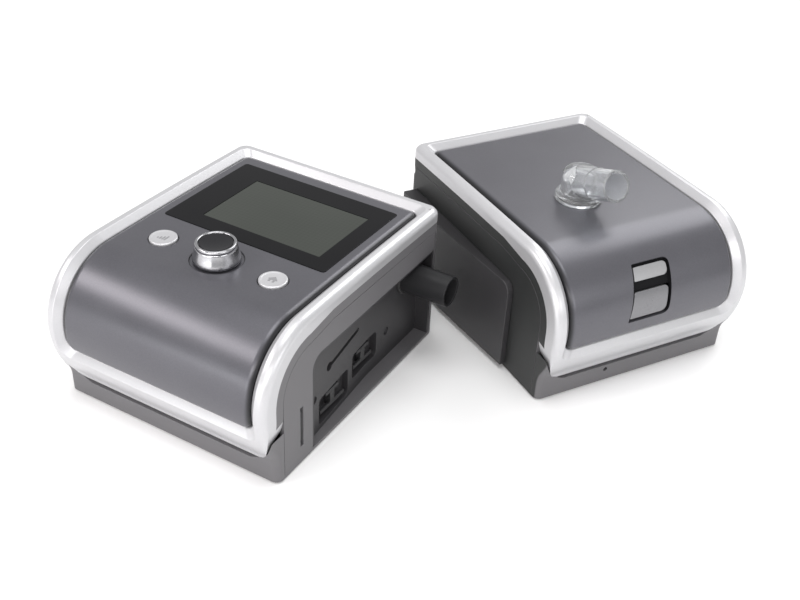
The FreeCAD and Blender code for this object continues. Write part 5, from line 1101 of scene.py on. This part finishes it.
# --- stage
@dataclass
class Studio:
    """Floor, lights and camera."""

    eye: Point = (377.15, -376.79, 476.26)
    yaw: float = -0.491
    pitch: float = 0.603
    roll: float = 0.060
    lens: float = 49.155
    shift: Pair = (-0.01396, -0.00176)
    floor_size: float = 14.0
    daylight: float = 0.62
    # name, place and target in metres, width and height, watts, tint
    lamps: tuple[tuple, ...] = (
        ("overhead", (0.0, -0.1, 1.7), (0.0, 0.0, 0.0), (1.3, 0.9), 12.0, WHITE),
        ("front_strip", (0.35, -1.4, 0.7), (-0.05, -0.15, 0.05), (1.4, 0.3), 8.0, (1.0, 0.97, 0.97)),
        ("left_soft", (-1.05, -1.02, 1.16), (-0.1, -0.19, 0.09), (1.0, 0.45), 9.0, (1.0, 0.95, 0.95)),
        ("right_fill", (1.5, -0.5, 0.7), (0.1, 0.0, 0.05), (0.9, 0.6), 5.0, WHITE),
        ("rear_soft", (0.12, 1.15, 1.20), (0.09, 0.05, 0.1), (1.0, 0.9), 9.0, WHITE),
        ("low_front", (-0.35, -1.5, 0.16), (-0.09, -0.2, 0.03), (1.2, 0.2), 3.5, WHITE),
    )

    def floor(self) -> None:
        """Lay the pale floor."""
        bpy.ops.mesh.primitive_plane_add(size=self.floor_size, location=(0.0, 0.0, 0.0))
        floor = bpy.context.object
        floor.name = "floor"
        graph = Graph("floor")
        sockets = graph.shader.inputs
        graph.feed(sockets["Base Color"], graph.blend(graph.noise(3.0, 3.0), (0.90, 0.90, 0.90), (0.94, 0.94, 0.94)))
        sockets["Roughness"].default_value = 0.9
        floor.data.materials.append(graph.material)

    def lights(self) -> None:
        """Add the soft studio lights and the pale surroundings."""
        for name, spot, target, size, power, colour in self.lamps:
            data = bpy.data.lights.new(name, "AREA")
            data.shape = "RECTANGLE"
            data.size, data.size_y = size
            data.energy, data.color = power, colour
            lamp = bpy.data.objects.new(name, data)
            bpy.context.collection.objects.link(lamp)
            lamp.location = spot
            lamp.rotation_euler = (Vector(target) - Vector(spot)).to_track_quat("-Z", "Y").to_euler()
        world = bpy.data.worlds.new("surroundings")
        world.use_nodes = True
        sky = world.node_tree.nodes["Background"].inputs
        sky["Color"].default_value = (*WHITE, 1.0)
        sky["Strength"].default_value = self.daylight
        bpy.context.scene.world = world

    def camera(self) -> None:
        """Place the camera at the view's angle."""
        yaw, pitch, roll = self.yaw, self.pitch, self.roll
        forward = Vector((math.sin(yaw) * math.cos(pitch), math.cos(yaw) * math.cos(pitch), -math.sin(pitch)))
        right = Vector((math.cos(yaw), -math.sin(yaw), 0.0))
        up = right.cross(forward)
        rolled = (math.cos(roll) * right + math.sin(roll) * up, math.cos(roll) * up - math.sin(roll) * right, -forward)
        data = bpy.data.cameras.new("camera")
        data.lens = self.lens
        data.shift_x, data.shift_y = self.shift
        data.clip_start, data.clip_end = 0.01, 50.0
        camera = bpy.data.objects.new("camera", data)
        bpy.context.collection.objects.link(camera)
        eye = (Vector(self.eye) + Vector((*SHIFT, 0.0))) * MM
        camera.matrix_world = Matrix.Translation(eye) @ Matrix(rolled).transposed().to_4x4()
        bpy.context.scene.camera = camera

    def build(self) -> None:
        """Set the whole stage."""
        self.floor()
        self.lights()
        self.camera()
        bpy.context.scene.view_settings.view_transform = "Standard"


def dress_solids() -> None:
    """Give every solid that still shows its finish."""
    for part in frame["record"]["subparts"]:
        slot = part["material_slot"]
        paint(frame["nodes"][part["node"]], "display" if slot == "display_glass" else slot)


def main() -> None:
    """Build the looks of both units and the stage."""
    logging.basicConfig(level=logging.INFO, format="%(message)s")
    for finish in FINISHES:
        MATERIALS[finish.name] = finish.build()
    MATERIALS["display"] = display_material()
    dress_solids()
    controls = Controls(Unit.DEVICE, DEVICE_WIDTH, "device", "case_grey")
    # the lid's dark lip gets the same painted shade on its side that faces the device
    lid = Lid(Unit.HUMIDIFIER, HUMID_WIDTH, "lid", "side_shaded_grey")
    for part in (controls, DeviceCase(), lid, HumidifierCase(), Studio()):
        part.build()


if __name__ == "__main__":
    main()
